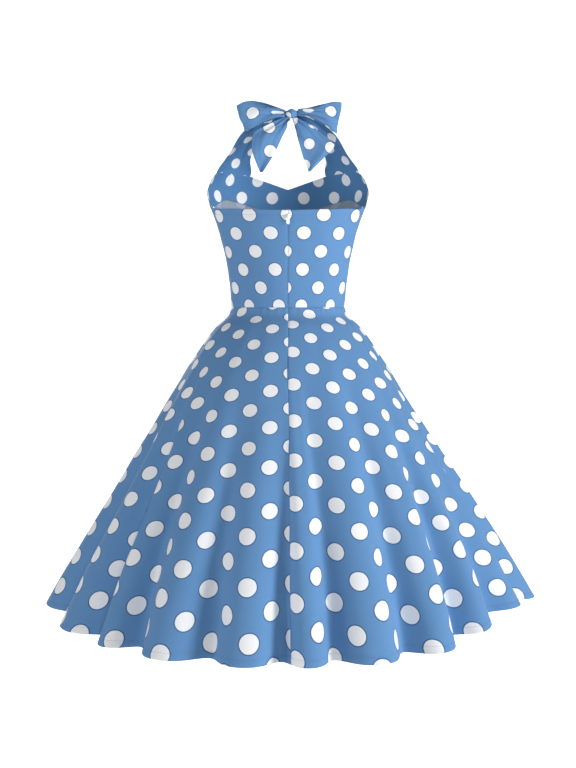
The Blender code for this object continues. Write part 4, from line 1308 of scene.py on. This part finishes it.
# ---- The zip ------------------------------------------------------------------------------------------
ZIP_TAPE_HALF, ZIP_TAPE_WALL = 0.0090, 0.0006  # half the width of both tapes together, and their wall
ZIP_TOP_DROP = 0.004  # the zip's top, below the top edge
ZIP_SKIRT_REACH = 0.140  # how far the zip runs on below the waist
TAPE_SINK, COIL_SINK = 0.0042, 0.0030  # how far in from the shell the tapes and the coil lie
COIL_RADIUS, COIL_RIDGE, COIL_PITCH = 0.0009, 0.00022, 0.0011  # its ridges swell and shrink the radius
SLIDER_SIZE = (0.0070, 0.0018, 0.0090)  # width, thickness and height
SLIDER_DROP = 0.0110  # the slider's middle, below the top edge
FRAME_SHELL = 0.0015  # the wall of the frame's bodice, which the slider lies on
BRIDGE_HEIGHT, BRIDGE_REACH, BRIDGE_WIRE = 0.0052, 0.0026, 0.0010
BRIDGE_ROOT = 0.0003  # how far the bridge's ends are sunk in the slider
PULL_WIDTH, PULL_LENGTH, PULL_WALL = 0.0056, 0.0170, 0.00085
PULL_TOP, PULL_EDGE = 0.0004, 0.00028  # the pull's top above the bridge's middle, and its rounded edge
PULL_EYE = (0.0026, 0.0042)  # width and height of the hole that the bridge goes through


def tube(line, radii, sides=10):
    """A round tube along a line, its radius given at each point: rings of points square to the line."""
    way = np.gradient(line, axis=0)
    way /= np.linalg.norm(way, axis=-1, keepdims=True)
    side = np.cross(way, np.array([1.0, 0.0, 0.0]))
    side /= np.maximum(np.linalg.norm(side, axis=-1, keepdims=True), 1e-9)
    other = np.cross(way, side)
    turn = np.linspace(0, 2 * np.pi, sides + 1)[:, None]
    spokes = side[:, None] * np.cos(turn) + other[:, None] * np.sin(turn)
    return line[:, None] + radii[:, None, None] * spokes


def squared(around, power):
    """The radius of a squared circle at each angle: 1 over the power mean of the cosine and the sine."""
    return 1 / (np.abs(np.cos(around)) ** power + np.abs(np.sin(around)) ** power) ** (1 / power)


def slider_place():
    """Where the slider's face is: the depth of its front and the height of its middle."""
    height = edge_height(TOP_EDGE, np.array(0.0)) - SLIDER_DROP
    proudest = torso(np.array(0.0), height + SLIDER_SIZE[2] / 2)[1]
    return float(proudest - FRAME_SHELL / 2 - SEAM_GAP - SLIDER_SIZE[1]), float(WAIST_Z + height)


class DRESS_OT_zip(bpy.types.Operator):
    """Make the concealed zip: its tapes and coil behind the seam, the slider and the hanging pull"""

    bl_idname = "dress.zip"
    bl_label = "Zip"

    def execute(self, context):
        heights = np.linspace(float(edge_height(TOP_EDGE, np.array(0.0))) - ZIP_TOP_DROP, 0.0, 120)
        below = skirt(np.linspace(0, ZIP_SKIRT_REACH, 80), np.array([BACK_SEAM]))[1:, 0]
        line = np.concatenate([torso(0 * heights, heights), below])
        along = np.gradient(line[:, 1:], axis=0)
        along /= np.linalg.norm(along, axis=-1, keepdims=True)
        inwards = np.stack([0 * along[:, 0], -along[:, 1], along[:, 0]], axis=-1)
        sides = np.linspace(-1, 1, 13) * ZIP_TAPE_HALF
        flat = (line + inwards * TAPE_SINK)[:, None] + sides[:, None] * np.array([1.0, 0.0, 0.0])
        cloth = np.stack([sides + 0 * flat[..., 0], lengths(flat, 0)], axis=-1)
        tape = sheet_piece("zip_tape_cloth", flat, cloth, ZIP_TAPE_WALL, ["Zip tape", "Zip tape"])
        coil_line = line + inwards * COIL_SINK
        arc = lengths(coil_line[:, None], 0)[:, 0]
        fine = np.arange(0.0, arc[-1], COIL_PITCH / 5)
        coil_line = np.stack([np.interp(fine, arc, coil_line[:, k]) for k in range(3)], axis=-1)
        points = tube(coil_line, COIL_RADIUS + COIL_RIDGE * sine(fine / COIL_PITCH), 8)
        mesh = mesh_of("zip_coil", points, grid_faces(*points.shape[:2]))
        coil = placed("zip_coil", mesh, [bpy.data.materials["Nylon coil"]])
        declare(coil)
        declare(tape, node="zip_tape")
        self.slider()
        self.pull()
        return {"FINISHED"}

    def slider(self):
        """A rounded slider, wider at its top, with a bridge bent over its face."""
        face_y, z = slider_place()
        around = np.linspace(0, 2 * np.pi, 65)
        rise = np.array([0.0, 0.0, 0.16, 0.42, 0.72, 0.93, 1.0, 1.0])[:, None]
        inset = np.array([1.0, 0.10, 0.03, 0.0, 0.0, 0.03, 0.12, 1.0])[:, None]
        square = squared(around, 3.2)
        up = np.sin(around) * square
        x = np.cos(around) * square * (1 - inset) * SLIDER_SIZE[0] / 2 * (0.86 + 0.14 * up)
        y = face_y + SLIDER_SIZE[1] * (1 - rise) + 0 * up
        points = np.stack([x, y, z + up * (1 - inset) * SLIDER_SIZE[2] / 2], axis=-1)
        faces = grid_faces(*points.shape[:2])
        turn = np.linspace(0, np.pi, 25)
        reach = BRIDGE_REACH - BRIDGE_WIRE / 2 + BRIDGE_ROOT
        bar_y = face_y + BRIDGE_ROOT - reach * np.sin(turn) ** 0.6
        bar_z = z + np.cos(turn) * (BRIDGE_HEIGHT - BRIDGE_WIRE) / 2
        bar = np.stack([0 * turn, bar_y, bar_z], axis=-1)
        wire = tube(bar, np.full(len(bar), BRIDGE_WIRE / 2), 12)
        wire_faces = grid_faces(*wire.shape[:2]) + points.shape[0] * points.shape[1]
        both = np.concatenate([points.reshape(-1, 3), wire.reshape(-1, 3)])
        mesh = mesh_of("zip_slider_metal", both, np.concatenate([faces, wire_faces]))
        made = placed("zip_slider_metal", mesh, [bpy.data.materials["Lacquered metal"]])
        declare(made, node="zip_slider")

    def pull(self):
        """A flat drop-shaped pull with an eye, hung on the bridge."""
        face_y, z = slider_place()
        y = face_y - (BRIDGE_REACH - BRIDGE_WIRE) / 2
        around = np.linspace(0, 2 * np.pi, 97)
        middle, half = (PULL_TOP - PULL_LENGTH) / 2, (PULL_TOP + PULL_LENGTH) / 2
        up = np.sin(around)
        square = squared(around, 2.6)
        outer_x = np.cos(around) * square * PULL_WIDTH / 2 * (0.92 - 0.08 * up)
        outer_z = middle + half * up * square
        eye_middle = -PULL_EYE[1] / 2 - PULL_TOP
        eye_x = np.cos(around) * square * PULL_EYE[0] / 2
        eye_z = eye_middle + up * square * PULL_EYE[1] / 2
        share = np.linspace(0, 1, 9)[:, None]
        x = eye_x + share * (outer_x - eye_x)
        points = np.stack([x, y + 0 * x, z + eye_z + share * (outer_z - eye_z)], axis=-1)
        mesh = mesh_of("zip_pull_metal", points, grid_faces(*points.shape[:2]))
        made = placed("zip_pull_metal", mesh, [bpy.data.materials["Lacquered metal"]])
        thicken = made.modifiers.new("Wall", "SOLIDIFY")
        thicken.thickness = PULL_WALL
        thicken.offset = 0.0
        rounded = made.modifiers.new("Edge", "BEVEL")
        rounded.width = PULL_EDGE
        rounded.segments = 3
        rounded.limit_method = "ANGLE"
        declare(made, body=PULL_BODY, node="zip_pull")


# ---- The stage ----------------------------------------------------------------------------------------
PAPER_REACH, PAPER_BEND, PAPER_TOP = 4.0, 3.0, 12.0  # how far it lies flat, its bend's radius, its height
AIM = (0.0, AXIS_Y, -0.6)  # where the lights point


class DRESS_OT_stage(bpy.types.Operator):
    """Set the camera, the lights, the surround and the floor"""

    bl_idname = "dress.stage"
    bl_label = "Stage"

    def execute(self, context):
        scene, settings = context.scene, context.scene.dress_stage
        across = np.linspace(-12.0, 12.0, 9)
        sweep = np.linspace(0.0, np.pi / 2, 24)
        back = PAPER_REACH + PAPER_BEND
        y = np.concatenate([[-9.0, -4.0, 0.0], PAPER_REACH + PAPER_BEND * np.sin(sweep), [back]])
        z = settings.floor + np.concatenate([[0.0, 0.0, 0.0], PAPER_BEND * (1 - np.cos(sweep)), [PAPER_TOP]])
        y, z = y[:, None] + 0 * across, z[:, None] + 0 * across
        points = np.stack([across + 0 * y, y, z], axis=-1)
        finish, tree, shader = plain_material("Studio paper", (0.80, 0.80, 0.80, 1.0), 1.0)
        shader.inputs["Specular IOR Level"].default_value = 0.0
        shader.inputs["Emission Color"].default_value = (1.0, 1.0, 1.0, 1.0)
        seen = tree.nodes.new("ShaderNodeLightPath")
        glow = math_node(tree, "MULTIPLY", seen.outputs["Is Camera Ray"], settings.paper_glow)
        tree.links.new(glow, shader.inputs["Emission Strength"])
        mesh = mesh_of("studio_paper", points, grid_faces(*points.shape[:2]))
        floor = placed("studio_paper", mesh, [finish])
        lights = (
            ("Key", (4.1, -2.0, 0.2), 1.4, settings.key),
            ("Fill", (-4.3, -1.5, -0.1), 2.2, settings.fill),
            ("Front", (0.4, -4.2, 0.1), 1.2, settings.front),
            ("Far", (-1.6, 4.4, 0.2), 2.4, settings.far),
        )
        for name, place, size, power in lights:
            lamp = bpy.data.lights.new(name, "AREA")
            lamp.shape = "DISK"
            lamp.size = size
            lamp.energy = power
            made = bpy.data.objects.new(name, lamp)
            made.location = place
            aim = np.array(AIM) - np.array(place)
            tilt = math.acos(-aim[2] / np.linalg.norm(aim))
            made.rotation_euler = (tilt, 0.0, math.atan2(aim[1], aim[0]) - math.pi / 2)
            scene.collection.objects.link(made)
        scene.world = bpy.data.worlds.new("White surround")
        scene.world.use_nodes = True
        tree = scene.world.node_tree
        path = tree.nodes.new("ShaderNodeLightPath")
        either = tree.nodes.new("ShaderNodeMixShader")
        tree.links.new(path.outputs["Is Camera Ray"], either.inputs[0])
        for socket, strength in ((either.inputs[1], settings.sky), (either.inputs[2], 1.0)):
            white = tree.nodes.new("ShaderNodeBackground")
            white.inputs["Color"].default_value = (1.0, 1.0, 1.0, 1.0)
            white.inputs["Strength"].default_value = strength
            tree.links.new(white.outputs[0], socket)
        tree.links.new(either.outputs[0], tree.nodes["World Output"].inputs[0])
        scene.view_settings.view_transform = "Standard"
        eye = bpy.data.cameras.new("Camera")
        eye.lens = settings.lens
        camera = bpy.data.objects.new("Camera", eye)
        camera.location = (0.0, AXIS_Y - settings.distance, settings.eye)
        camera.rotation_euler = (math.radians(90.0 - settings.pitch), 0.0, 0.0)
        scene.collection.objects.link(camera)
        scene.camera = camera
        return {"FINISHED"}


class DRESS_PT_panel(bpy.types.Panel):
    """Lists the steps that build the dress"""

    bl_label = "Halter dress"
    bl_space_type = "VIEW_3D"
    bl_region_type = "UI"
    bl_category = "Dress"

    def draw(self, context):
        for group in ("dress_cloth", "dress_print", "dress_stage"):
            settings = getattr(context.scene, group)
            for name in settings.bl_rna.properties.keys()[2:]:
                self.layout.prop(settings, name)
        for step in STEPS:
            self.layout.operator(f"dress.{step}")


GROUPS = {"dress_cloth": DressCloth, "dress_print": DressPrint, "dress_stage": DressStage}
STEPS = ("materials", "bodice", "facing", "skirt", "waist", "straps", "bow", "zip", "stage")
CLASSES = (
    DressCloth,
    DressPrint,
    DressStage,
    DRESS_OT_materials,
    DRESS_OT_bodice,
    DRESS_OT_facing,
    DRESS_OT_skirt,
    DRESS_OT_waist,
    DRESS_OT_straps,
    DRESS_OT_bow,
    DRESS_OT_zip,
    DRESS_OT_stage,
    DRESS_PT_panel,
)


def register():
    """Register the settings, the steps and the panel."""
    for kind in CLASSES:
        bpy.utils.register_class(kind)
    for name, kind in GROUPS.items():
        setattr(bpy.types.Scene, name, PointerProperty(type=kind))


def unregister():
    """Take the settings, the steps and the panel away again."""
    for name in GROUPS:
        delattr(bpy.types.Scene, name)
    for kind in reversed(CLASSES):
        bpy.utils.unregister_class(kind)


def main():
    """Build the dress step by step."""
    register()
    bpy.ops.dress.materials()
    bpy.ops.dress.bodice()
    bpy.ops.dress.facing()
    bpy.ops.dress.skirt()
    bpy.ops.dress.waist()
    bpy.ops.dress.straps()
    bpy.ops.dress.bow()
    bpy.ops.dress.zip()
    bpy.ops.dress.stage()
    bpy.context.view_layer.update()


if __name__ == "__main__":
    main()
